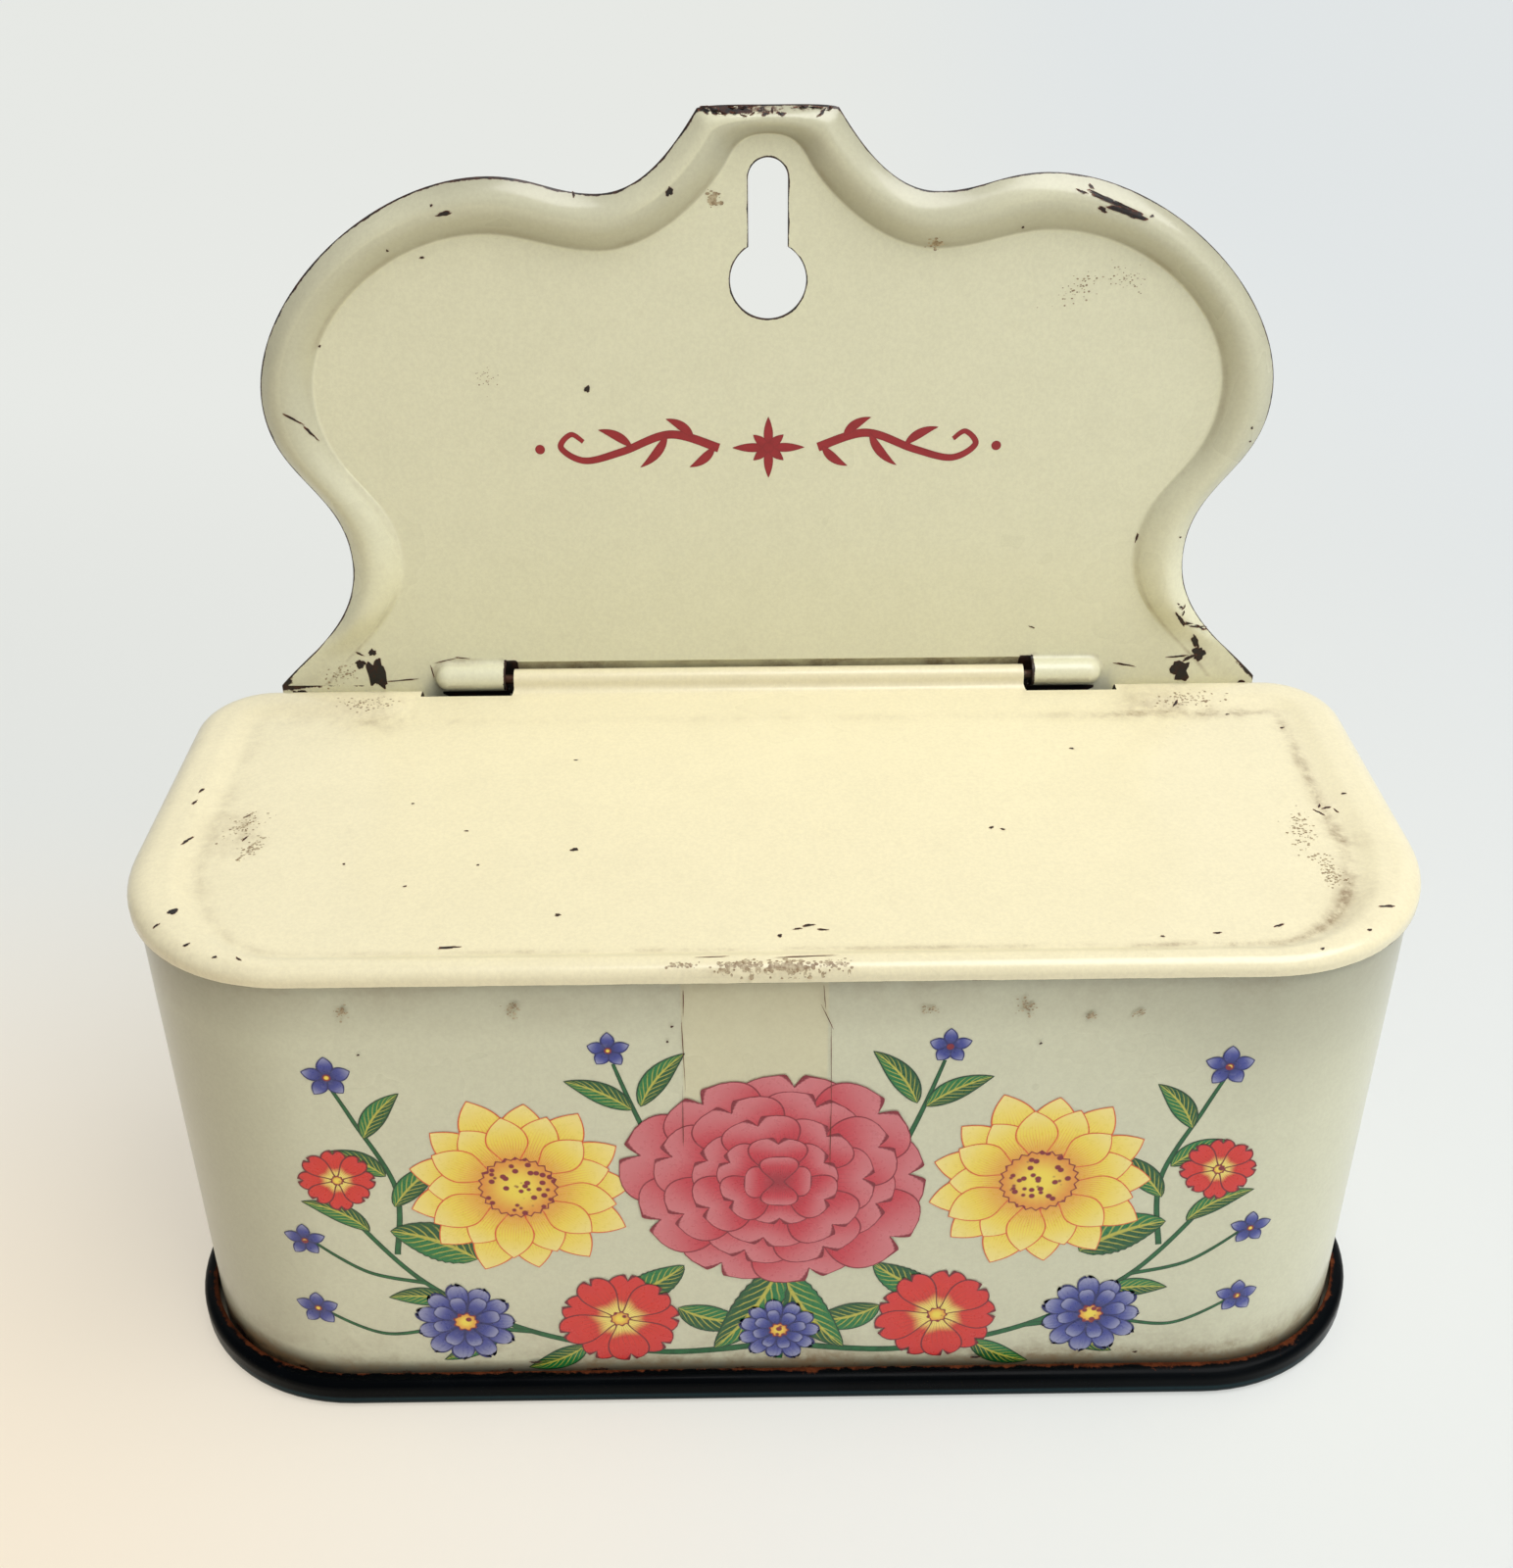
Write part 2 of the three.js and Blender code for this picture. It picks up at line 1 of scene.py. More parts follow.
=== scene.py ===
"""Painted tinplate match holder for the kitchen wall: finish, wear and printed flowers.

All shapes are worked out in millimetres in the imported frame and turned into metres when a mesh
is made. The front faces -Y, up is +Z, and the lid turns on the hinge wire.
"""

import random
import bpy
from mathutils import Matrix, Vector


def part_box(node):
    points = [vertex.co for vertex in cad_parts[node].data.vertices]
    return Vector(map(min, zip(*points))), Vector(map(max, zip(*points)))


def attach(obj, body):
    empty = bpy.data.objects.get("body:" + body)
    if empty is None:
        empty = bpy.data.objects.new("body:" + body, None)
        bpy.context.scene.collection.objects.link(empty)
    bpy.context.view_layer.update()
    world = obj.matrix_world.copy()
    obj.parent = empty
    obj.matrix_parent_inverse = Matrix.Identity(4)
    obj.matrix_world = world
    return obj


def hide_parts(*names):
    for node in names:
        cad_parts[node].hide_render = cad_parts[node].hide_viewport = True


bl_info = {
    "name": "Wall Match Holder",
    "version": (1, 0, 0),
    "blender": (4, 5, 0),
    "location": "View3D > Sidebar > Match Holder",
    "description": "Builds the painted match holder with its lid, rim, print and studio",
    "category": "Object",
}

from math import asin, atan2, copysign, cos, exp, hypot, pi, radians, sin, sqrt, tan

import bmesh
import bpy
from bpy.props import FloatProperty, FloatVectorProperty, IntProperty, PointerProperty
from mathutils import Matrix, Vector
from mathutils.geometry import tessellate_polygon

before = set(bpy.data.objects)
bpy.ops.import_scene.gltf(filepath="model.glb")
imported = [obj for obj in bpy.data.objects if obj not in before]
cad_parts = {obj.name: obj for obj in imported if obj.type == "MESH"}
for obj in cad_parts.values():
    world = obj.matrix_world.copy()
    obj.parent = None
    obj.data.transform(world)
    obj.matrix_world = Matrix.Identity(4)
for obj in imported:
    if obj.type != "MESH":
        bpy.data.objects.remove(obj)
PLATE_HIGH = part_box("back_plate")[1]
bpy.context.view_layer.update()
METRE = 1000.0
QUARTER = pi / 2
BLACK = (0, 0, 0, 1)
WHITE = (1, 1, 1, 1)
SENSOR = 36
FOCAL_SHARE = 1691.025 / 1600
COAT = {"Coat_Weight": 0.25, "Coat_Roughness": 0.12}

# Place of the bead's crest across its width, and the bands that the bead is drawn in
CREST = 0.42
BEAD_BANDS = 22

# Faces of the plate that look less than this far to the front or rear count as steep
STEEP = 0.02

# Worn width round the plate's holes, and length of the worn mouth of a pocket
COLLAR = 0.35
POCKET_LIP = 0.5

# Distances from the end of the trough to the edge of its black part, which is painted shade
TROUGH_DARK = (0, 1.4, 1.7)

# Soft left, right and lower edges of the yellowed band on the wall, in metres
YELLOWED = ((-0.0115, -0.0111), (0.0059, 0.0055), (0.0332, 0.0338))

# Heights of the rows of the wall and of the lid's skirt, as shares
WALL_LEVELS = (
    0, 0.02, 0.045, 0.06, 0.075, 0.1, 0.15, 0.24, 0.36, 0.5, 0.64, 0.76, 0.86, 0.93, 0.97, 1
)
SKIRT = (0.0, 0.06, 0.2, 0.5, 0.8)

# Rubbed spots on the lid's edge, and the waves of a flake's outline: turns and height
LID_WORN = ((71.6, -56.2), (76.8, -50.6), (-74.4, -27.5))
FLAKE_WAVES = ((2, 0.5), (3, 0.4), (5, 0.3), (9, 0.25))


def length(name, description, millimetres):
    """Length setting, given in millimetres."""
    default = millimetres / METRE
    return FloatProperty(
        name=name, description=description, default=default, unit="LENGTH", precision=5
    )


def colour(name, description, *rgb):
    """Colour setting, given as it looks on a screen, 0 to 255."""
    default = [value / 255 for value in rgb]
    return FloatVectorProperty(
        name=name, description=description, default=default, subtype="COLOR_GAMMA", size=3, min=0, max=1
    )


def power(name, description, watts):
    return FloatProperty(name=name, description=description, default=watts, unit="POWER")


class BoxSizes(bpy.types.PropertyGroup):
    sheet: length("Sheet", "Thickness of the tinplate", 0.5)
    gap: length("Gap", "Clearance between pieces that move or interlock", 0.3)
    width: length("Width", "Width over the wall of the box", 157.6)
    depth: length("Depth", "Depth over the wall of the box", 61.2)
    front_radius: length("Front corner", "Radius of the front corners", 22.8)
    rear_radius: length("Rear corner", "Radius of the rear corners", 9)
    lap: length("Rear lap", "Width of the laps that lie on the back plate", 12)
    rim_proud: length("Rim width", "How far the base rim stands out from the wall", 2.5)
    rim_height: length("Rim height", "Height of the base rim", 4.2)
    rim_fold: length("Rim roundness", "Radius of the folds of the base rim", 1)
    panel_rise: length("Bottom rise", "Height of the bottom over the table", 3)


class HingeSizes(bpy.types.PropertyGroup):
    hinge_z: length("Height", "Height of the hinge wire", 75.8)
    set_off: length("Set-off", "Distance of the wire from the face of the plate", 0.6)
    wire: length("Wire", "Diameter of the hinge wire", 1.4)
    tongue: length("Tongue", "Half width of the lid's rolled tongue", 36.6)
    side_gap: length("Side gap", "Gap beside the tongue", 0.8)
    pocket_length: length("Pocket", "Length of each pocket that holds the wire", 10)
    pocket_rise: length("Pocket rise", "Height of the pocket's axis over the wire", 0.4)


class LidSizes(bpy.types.PropertyGroup):
    slope: FloatProperty(
        name="Slope",
        description="How far the lid falls towards the front",
        default=radians(3.2),
        subtype="ANGLE",
    )
    lid_height: length("Height", "Height from the lip to the top of the border", 5)
    roll: length("Roll", "Radius of the roll between skirt and border", 3.3)
    crest_width: length("Crest", "Distance from the outline to the end of the crest", 4.8)
    border: length("Border", "Width of the raised border", 8.6)
    recess: length("Recess", "Depth of the panel below the border", 0.7)
    ramp: length("Hump ramp", "Length over which a rear hump rises", 3.6)
    fall: length("Fall", "How much lower the border lies at the front than at the hinge", 2.9)
    narrow: FloatProperty(
        name="Narrowing",
        description="Width of the front border as a share of the side borders",
        default=0.45,
        subtype="FACTOR",
        min=0.2,
        max=1,
    )


class PlateSizes(bpy.types.PropertyGroup):
    top: length("Top", "Height of the plate's top edge", PLATE_HIGH.z * METRE)
    bead: length("Bead width", "Width of the raised bead along the outline", 7)
    bead_height: length("Bead height", "Height of the bead over the plate", 1.9)
    hole: length("Keyhole", "Radius of the keyhole's round end", 4.85)
    hole_drop: length("Keyhole drop", "From the top edge to the middle of the hole", 20.4)
    slot: length("Slot", "Half width of the keyhole's slot", 2.48)
    slot_drop: length("Slot drop", "From the top edge to the end of the slot", 5.6)


class Finish(bpy.types.PropertyGroup):
    cream: colour("Cream", "Lacquer of the plate, the wall and the lid", 243, 233, 196)
    enamel: colour("Black", "Enamel of the base rim", 2, 4, 6)
    rust: colour("Rust", "Rubbed metal along the rim", 92, 46, 24)
    # The dirt colour also tints the painted shade.
    grime: colour("Grime", "Dirt in the hollows", 142, 116, 82)
    undercoat: colour("Undercoat", "Dark metal under lost paint", 22, 17, 14)
    tin: colour("Tin", "Bare tin inside the box", 168, 160, 140)
    pink: colour("Pink", "Petals of the large blossom", 202, 48, 66)
    yellow: colour("Yellow", "Petals of the sun flowers", 246, 220, 82)
    orange: colour("Orange", "Petals of the small daisies", 220, 46, 34)
    blue: colour("Blue", "Petals of the small stars", 58, 68, 152)
    leaf: colour("Leaf", "Leaves and stems", 12, 118, 58)
    ornament: colour("Ornament", "Printed figure on the back plate", 158, 22, 30)
    seed: IntProperty(name="Seed", description="Start of the random marks", default=7)


class StudioSettings(bpy.types.PropertyGroup):
    key: power("Ceiling light", "Power of the large lamp overhead", 8.3)
    fill: power("Front light", "Power of the soft lamp in front", 1.2)
    backdrop: colour("Backdrop", "Colour of table and background", 236, 238, 234)


SIZE_GROUPS = {
    "match_box": BoxSizes,
    "match_hinge": HingeSizes,
    "match_lid": LidSizes,
    "match_plate": PlateSizes,
}
GROUPS = {**SIZE_GROUPS, "match_finish": Finish, "match_studio": StudioSettings}


def setting_names(group):
    return [key for key in group.bl_rna.properties.keys() if key not in ("rna_type", "name")]


class Tin:
    """The settings of the scene in millimetres, with the sizes that follow from them."""

    def __init__(self, scene):
        for name in SIZE_GROUPS:
            group = getattr(scene, name)
            for key in setting_names(group):
                unit = 1 if key in ("slope", "narrow") else METRE
                setattr(self, key, getattr(group, key) * unit)
        self.half = self.width / 2
        self.face = (self.depth - self.sheet) / 2
        self.front = self.face - self.depth
        self.hinge_y = self.face - self.set_off
        self.curl = self.wire / 2 + self.gap
        self.pocket_start = self.tongue + self.side_gap
        self.pocket_end = self.pocket_start + self.pocket_length
        self.pocket = self.curl + self.pocket_rise + self.sheet
        self.hump_start = self.pocket_end + 2
        self.crest = self.recess - self.curl
        self.wall_drop = self.roll - self.crest
        self.lap_out = self.gap + self.sheet
        self.foot_x = self.half - self.rear_radius - 0.1
        self.foot_z = self.hinge_z - 0.9
        self.bottom = self.sheet + self.gap
        self.lid_half = self.half + self.lap_out
        self.lid_rear = self.set_off - 0.6
        self.lid_front_radius = self.front_radius + self.lap_out
        self.lid_rear_radius = self.border + self.sheet + 0.5


def smooth(low, high, value):
    t = min(max((value - low) / (high - low), 0.0), 1.0)
    return t * t * (3 - 2 * t)


def mix(a, b, t):
    return a + (b - a) * t


def link(name, data):
    """Put data into the scene as an object."""
    made = bpy.data.objects.new(name, data)
    bpy.context.scene.collection.objects.link(made)
    return made


def bell(value, middle, width):
    """Soft peak of height 1 at the middle."""
    return exp(-(((value - middle) / width) ** 2))


def arc(x, y, radius, start, end, steps):
    """Points on a circle; angles in quarter turns."""
    angles = [mix(start, end, i / steps) * QUARTER for i in range(steps + 1)]
    return [(x + radius * cos(a), y + radius * sin(a)) for a in angles]


def bezier(p, steps):
    points = []
    for i in range(steps + 1):
        t = i / steps
        w = ((1 - t) ** 3, 3 * t * (1 - t) ** 2, 3 * t * t * (1 - t), t**3)
        points.append(tuple(sum(w[j] * p[j][k] for j in range(4)) for k in (0, 1)))
    return points


def rounded_plan(half, front, rear, front_radius, rear_radius, stops=(), deep=None):
    """Closed outline of box or lid from above, anticlockwise from the left front corner."""
    fr, rr = max(front_radius, 0.2), max(rear_radius, 0.2)
    deep = fr if deep is None else deep
    corner = [(x * fr, y * deep) for x, y in arc(0, 0, 1, 2, 3, 20)]
    points = [(-half + fr + x, front + deep + y) for x, y in corner]
    points += [(mix(-half + fr, half - fr, i / 12), front) for i in range(1, 12)]
    points += [(half - fr - x, front + deep + y) for x, y in reversed(corner)]
    points += [(half, mix(front + deep, rear - rr, i / 5)) for i in range(1, 5)]
    points += arc(half - rr, rear - rr, rr, 0, 1, 12)
    points += [(x, rear) for x in sorted(stops, reverse=True)]
    points += [(-x, rear) for x in sorted(stops)]
    points += arc(-half + rr, rear - rr, rr, 1, 2, 12)
    points += [(-half, mix(rear - rr, front + deep, i / 5)) for i in range(1, 5)]
    return points


def outlines(tin):
    """The plate's outline and the bead's inner edge, from the left foot over the top."""
    top, foot_x, foot_z, w = tin.top, tin.foot_x, tin.foot_z, tin.bead
    rise = top - foot_z
    crown, arch, notch, shoulder = top + 0.45, top - 2.9, top - 9.7, top - 7.55
    lobe, waist = foot_z + 0.5345 * rise, foot_z + 0.245 * rise
    outer = [
        (0, crown), (2.8, crown), (7.5, crown + 0.1), (8.6, crown - 0.35), (12, top - 5.1),
        (15.9, notch), (21.3, notch), (26.5, notch), (29, shoulder), (34.6, shoulder),
        (49.6, shoulder), (66.4, lobe + 0.17 * rise), (66.4, lobe), (66.4, lobe - 0.137 * rise),
        (57.3, waist + 0.137 * rise), (57.3, waist), (57.3, waist - 0.117 * rise),
        (foot_x - 4.6, foot_z + 5), (foot_x, foot_z),
    ]
    inner = [
        (0, arch), (2.2, arch), (3.5, arch - 0.6), (4.7, arch - 2.7), (7, arch - 7),
        (14.3, notch - w), (21.3, notch - w), (26.5, notch - w), (30.6, shoulder - w),
        (35.6, shoulder - w), (47.6, shoulder - w), (66.4 - w, lobe + 0.143 * rise),
        (66.4 - w, lobe + 0.8), (66.4 - w, lobe - 0.143 * rise),
        (57.3 - w, waist + 0.143 * rise), (57.3 - w, waist), (57.3 - w, waist - 0.104 * rise),
        (foot_x - 1.5 * w, foot_z + 5), (foot_x - w, foot_z),
    ]
    ends = []
    for nodes in (outer, inner):
        half = nodes[:1]
        for i, steps in enumerate((8, 24, 20, 36, 26, 24)):
            half += bezier(nodes[3 * i : 3 * i + 4], steps)[1:]
        ends.append([(-x, z) for x, z in reversed(half[1:])] + half)
    return ends


def bead_lift(tin, across, z):
    """Arch of the bead: its crest lies nearer the outline, and both feet end in a crease."""
    fade = smooth(tin.foot_z + 4, tin.foot_z + 12, z)
    off = (CREST - across) / CREST if across < CREST else (across - CREST) / (1 - CREST)
    soft = 1 - 0.45 * smooth(0.78, 1, off) if across > CREST else 1
    return tin.bead_height * fade * soft * max(cos(QUARTER * off), 0)


def plate_lift(tin, edges, x, z):
    """Height of the bead at a spot, by its place between the outline and the inner edge."""
    best = (1e9, 1.0)
    for (ox, oz), (ix, iz) in zip(*edges):
        dx, dz = ix - ox, iz - oz
        t = ((x - ox) * dx + (z - oz) * dz) / (dx * dx + dz * dz)
        t = min(max(t, 0), 1)
        gap = hypot(x - ox - dx * t, z - oz - dz * t)
        if gap < best[0]:
            best = (gap, t)
    return bead_lift(tin, best[1], z) if best[1] < 1 else 0.0


def lid_inset(tin, x, y):
    """Distance inwards from the lid's outline, counted on its sides, in the lid's own frame."""
    half, front, rear = tin.lid_half, lid_front(tin), tin.lid_rear
    fr, rr = tin.lid_front_radius, tin.lid_rear_radius
    across = abs(x)
    if y < front + fr and across > half - fr:
        u, v = across - half + fr, y - front - fr
        low, high = 0.0, fr
        for _ in range(24):
            i = (low + high) / 2
            out = (u / (fr - i)) ** 2 + (v / (fr - i * tin.narrow)) ** 2 > 1
            low, high = (low, i) if out else (i, high)
        return low
    if y > rear - rr and across > half - rr:
        return rr - hypot(across - half + rr, y - rear + rr)
    return min(half - across, (y - front) / tin.narrow, rear - y)


def lid_front(tin):
    tilt = (tin.lid_height + tin.curl + tin.sheet) * tan(tin.slope)
    return -(tin.depth - tin.set_off) / cos(tin.slope) - tin.lap_out - tilt


def lid_top(tin, x, y, inset):
    """Height of the lid's skin: rolled edge, crest and recess, lower towards the front."""
    crest = tin.crest - tin.fall * min(max(y / lid_front(tin), 0), 1)
    if inset < tin.roll:
        high = (crest - tin.crest + tin.lid_height) * tin.roll / tin.lid_height
        z = crest + high * (sqrt(max(1 - (1 - inset / tin.roll) ** 2, 0)) - 1)
    else:
        z = crest - tin.recess * smooth(tin.crest_width, tin.border, inset)
    level = crest - tin.recess
    if z > level and y >= -2 * tin.border:
        z = level + (z - level) * smooth(tin.hump_start, tin.hump_start + tin.ramp, abs(x))
    return z


def lid_spot(tin, x, y, lift):
    """Point over the closed lid's top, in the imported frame."""
    z = lid_top(tin, x, y, lid_inset(tin, x, y)) + lift
    c, s = cos(tin.slope), sin(tin.slope)
    return x, y * c - z * s + tin.hinge_y, y * s + z * c + tin.hinge_z


def wall_spot(tin, s, z, lift):
    """Point on the outside of the wall; s runs along the front from its middle."""
    radius = tin.front_radius
    flat = tin.half - radius
    turn = max(abs(s) - flat, 0) / radius
    x = min(abs(s), flat) + (radius + lift) * sin(turn)
    y = tin.front + radius - (radius + lift) * cos(turn)
    return copysign(x, s), y, z


class Skin:
    """One sheet or body under construction, with named values on its points."""

    def __init__(self, *channels):
        self.bm = bmesh.new()
        self.channels = {c: self.bm.verts.layers.float.new(c) for c in channels}

    def point(self, at, **values):
        v = self.bm.verts.new([c / METRE for c in at])
        for name, value in values.items():
            v[self.channels[name]] = value
        return v

    def face(self, verts, material=0):
        if len(set(verts)) > 2:
            f = self.bm.faces.new(verts)
            f.material_index = material
            f.smooth = True

    def grid(self, rows, around=False, material=0):
        count = len(rows[0])
        for lower, upper in zip(rows, rows[1:]):
            for i in range(count if around else count - 1):
                j = (i + 1) % count
                self.face((lower[i], lower[j], upper[j], upper[i]), material)

    def weld(self, distance=0.002):
        bmesh.ops.remove_doubles(self.bm, verts=self.bm.verts[:], dist=distance / METRE)
        loose = [v for v in self.bm.verts if not v.link_faces]
        bmesh.ops.delete(self.bm, geom=loose, context="VERTS")

    def turn_out(self, leader, way):
        """Flip every face unless the leading one looks the given way."""
        lead = max(self.bm.faces, key=leader)
        lead.normal_update()
        if lead.normal.dot(Vector(way)) < 0:
            for face in self.bm.faces:
                face.normal_flip()

    def turn_each(self, way):
        """Flip each face that doesn't look the given way."""
        for face in self.bm.faces:
            face.normal_update()
            if face.normal.dot(Vector(way)) < 0:
                face.normal_flip()

    def finish(self, name, body, materials, slot, replaces=None, sheet=0, offset=-1, sharp=38):
        """Make the piece; a sheet is thickened and gets its inner and its edge material."""
        mesh = bpy.data.meshes.new(name)
        self.bm.to_mesh(mesh)
        self.bm.free()
        for material in materials:
            mesh.materials.append(material)
        piece = link(name, mesh)
        if sheet:
            wall = piece.modifiers.new("Sheet", "SOLIDIFY")
            wall.thickness = sheet / METRE
            wall.offset = offset
            wall.use_even_offset = True
            wall.use_quality_normals = True
            wall.material_offset = 1
            wall.material_offset_rim = 2
            graph = bpy.context.evaluated_depsgraph_get()
            made = bpy.data.meshes.new_from_object(piece.evaluated_get(graph))
            piece.modifiers.clear()
            piece.data = made
            bpy.data.meshes.remove(mesh)
            mesh = made
            mesh.name = name
        mesh.set_sharp_from_angle(angle=radians(sharp))
        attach(piece, body)
        if replaces:
            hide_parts(replaces)


def linear(c, shade=1.0):
    """Written colour to the scene's linear one."""
    values = [v / 12.92 if v <= 0.04045 else ((v + 0.055) / 1.055) ** 2.4 for v in c]
    return (*[min(v * shade, 1.0) for v in values], 1.0)


def blend(a, b, t):
    return tuple(mix(x, y, t) for x, y in zip(a, b))


class Nodes:
    """Node tree under construction."""

    def __init__(self, tree):
        self.tree = tree

    def put(self, socket, value):
        if isinstance(value, bpy.types.NodeSocket):
            self.tree.links.new(value, socket)
        else:
            socket.default_value = value

    def node(self, kind, inputs=(), output=0, **settings):
        """Add a node, fill its inputs and give back one of its outputs."""
        made = self.tree.nodes.new("ShaderNode" + kind)
        for name, value in settings.items():
            setattr(made, name, value)
        for key, value in dict(inputs).items():
            self.put(made.inputs[key], value)
        return made.outputs[output]

    def math(self, operation, a, b=0.0, clamp=False):
        return self.node("Math", {0: a, 1: b}, operation=operation, use_clamp=clamp)

    def add(self, a, b, clamp=False):
        return self.math("ADD", a, b, clamp)

    def less(self, a, b):
        return self.math("SUBTRACT", a, b)

    def times(self, a, b, clamp=False):
        return self.math("MULTIPLY", a, b, clamp)


class Recipe(Nodes):
    """Node material under construction."""

    def __init__(self, name):
        self.material = bpy.data.materials.new(name)
        self.material.use_nodes = True
        super().__init__(self.material.node_tree)
        self.shader = self.tree.nodes["Principled BSDF"]
        self.place = self.node("TexCoord", output="Object")

    def done(self, colour, rough, **more):
        """Fill the shader and give back the material."""
        for name, value in {"Base_Color": colour, "Roughness": rough, **more}.items():
            self.put(self.shader.inputs[name.replace("_", " ")], value)
        return self.material

    def noise(self, scale, detail=3.0, rough=0.55, at=None, bend=0.0):
        inputs = {"Scale": scale, "Detail": detail, "Roughness": rough, "Distortion": bend}
        return self.node("TexNoise", {"Vector": at or self.place, **inputs}, "Fac")

    def value(self, name):
        return self.node("Attribute", output="Fac", attribute_name=name)

    def motif(self):
        return self.axes(self.node("Attribute", output="Vector", attribute_name="motif"))

    def axes(self, vector):
        node = self.node("SeparateXYZ", {0: vector}).node
        return [node.outputs[i] for i in range(3)]

    def stretch(self, *scale):
        return self.node("VectorMath", {0: self.place, 1: scale}, operation="MULTIPLY")

    def step(self, value, low, high, out_low=0.0, out_high=1.0):
        ends = {"From Min": low, "From Max": high, "To Min": out_low, "To Max": out_high}
        return self.node("MapRange", {"Value": value, **ends}, "Result", interpolation_type="SMOOTHSTEP")

    def tint(self, amount, a, b):
        return self.node("Mix", {"Factor": amount, 6: a, 7: b}, 2, data_type="RGBA")

    def bump(self, height, strength, distance, normal=None):
        inputs = {"Height": height, "Strength": strength, "Distance": distance / METRE}
        if normal:
            inputs["Normal"] = normal
        return self.node("Bump", inputs, "Normal")

    def swing(self, value, reach):
        """Noise turned into a push either way."""
        return self.times(self.less(value, 0.5), reach)

    def stripes(self, value):
        """Distance from the middle between whole numbers."""
        return self.math("ABSOLUTE", self.less(self.math("FRACT", value), 0.5))

    def fade(self, value, low, high, a, b):
        return self.tint(self.step(value, low, high), a, b)

    def rough(self, value, low, high):
        """Roughness between two ends that follows a noise."""
        return self.step(value, 0.3, 0.7, low, high)

    def printed(self, tone, pale, speckle):
        """Lay the grain of the print over a tone and give it the gloss of the inks."""
        grain = self.noise(1500, 2, 0.6)
        tone = self.tint(self.step(grain, 0.55, 0.8, 0, speckle), tone, pale)
        return self.done(tone, self.rough(grain, 0.26, 0.36), **COAT)


def cream_lacquer(finish, name, shade=1.0, cool=0.0, band=None):
    """Glossy cream paint with dirt and painted shade in its hollows, near-black painted shade where the
    film value is set, and dark metal where it has come off.
    """
    r = Recipe(name)
    grime, rust = finish.grime, finish.rust
    base = linear(finish.cream, shade)
    base = blend(base, (base[1] * 0.95, base[1], base[2] * 1.12, 1), cool)
    fine = r.noise(620, 5, 0.7)
    paint = r.fade(r.noise(130, 6, 0.72), 0.3, 0.7, blend(base, BLACK, 0.03), base)
    paint = r.tint(r.step(r.noise(420, 3, 0.6), 0.58, 0.8, 0, 0.05), paint, linear(grime))
    # Painted shade: the film value darkens the paint towards near black.
    paint = r.tint(r.value("film"), paint, blend(linear(grime, 0.5), BLACK, 0.8))
    dirt = r.times(r.value("grime"), r.step(r.noise(95, 7, 0.68, bend=0.4), 0.36, 0.66))
    dirt = r.times(dirt, r.step(fine, 0.3, 0.62, 0.35, 1.0), clamp=True)
    grit = r.step(r.noise(1900, 3, 0.75), 0.3, 0.7, 0, 0.085)
    paint = r.tint(grit, paint, linear(grime, 0.6))
    paint = r.tint(dirt, paint, linear(grime, 0.9))
    chip = r.add(r.value("bare"), r.swing(r.noise(230, 6, 0.72), 2.2))
    halo, lost = r.step(chip, 0.62, 0.74), r.step(chip, 0.74, 0.8)
    paint = r.tint(r.times(halo, 0.75), paint, linear(rust))
    metal = r.fade(fine, 0.4, 0.7, linear(finish.undercoat), linear(rust, 0.55))
    paint = r.tint(lost, paint, metal)
    rough = r.add(r.rough(r.noise(26, 4, 0.6), 0.27, 0.3), r.times(dirt, 0.25))
    rough = r.add(rough, r.times(lost, 0.3), clamp=True)
    edge = r.bump(r.less(1.0, lost), 0.7, 0.06, r.bump(r.noise(900, 2, 0.5), 0.05, 0.06))
    if band:
        x, _, z = r.axes(r.place)
        inside = r.times(r.step(x, *band[0]), r.step(x, *band[1]))
        inside = r.times(inside, r.step(z, *band[2]))
        paint = r.tint(r.times(inside, 0.3), paint, linear((0.86, 0.8, 0.6)))
    return r.done(paint, rough, Normal=edge, **COAT)


def black_enamel(finish):
    """Glossy black rim, rubbed to brown metal along its upper fold and at the wall, with a painted teal
    highlight on its lower front.
    """
    r = Recipe("rim_black")
    soft, fine = r.noise(55, 4, 0.6), r.noise(480, 6, 0.72)
    paint = r.fade(soft, 0.4, 0.7, linear(finish.enamel), linear(finish.enamel, 1.6))
    worn = r.add(r.swing(fine, 1.5), r.swing(soft, 1.6))
    rub = r.step(r.add(r.value("bare"), worn), 0.66, 0.88)
    # Painted highlight: a teal reflection line and band on the rim's lower front.
    paint = r.tint(r.value("sheen"), paint, linear((0.11, 0.19, 0.21)))
    brown = r.fade(fine, 0.42, 0.66, linear(finish.rust, 0.5), linear(finish.rust, 1.1))
    paint = r.tint(rub, paint, brown)
    rough = r.add(r.rough(soft, 0.2, 0.34), r.times(rub, 0.35), clamp=True)
    return r.done(paint, rough, Normal=r.bump(fine, 0.12, 0.08), Specular_IOR_Level=0.05)


def bare_tin(finish, name="inside_tin"):
    """Dull tin inside the box, with faint stains and drawing marks."""
    r = Recipe(name)
    lines = r.noise(60, 3, 0.6, at=r.stretch(0.15, 0.15, 6))
    base = r.fade(r.noise(24, 6, 0.65), 0.35, 0.7, linear(finish.tin), linear(finish.tin, 0.72))
    spots = r.step(r.noise(170, 7, 0.75), 0.62, 0.74, 0, 0.7)
    base = r.tint(spots, base, linear(finish.rust, 1.3))
    metal, marks = r.step(spots, 0.0, 0.6, 0.75, 0.1), r.bump(lines, 0.1, 0.05)
    return r.done(base, r.rough(lines, 0.38, 0.6), Metallic=metal, Normal=marks)


def cut_edge(finish):
    """Raw edge of the sheet, darkened by age."""
    r = Recipe("cut_edge")
    grain = r.noise(700, 5, 0.7)
    base = r.fade(grain, 0.38, 0.68, linear(finish.undercoat), linear(finish.rust, 0.7))
    return r.done(base, r.rough(grain, 0.5, 0.75), Metallic=0.3)


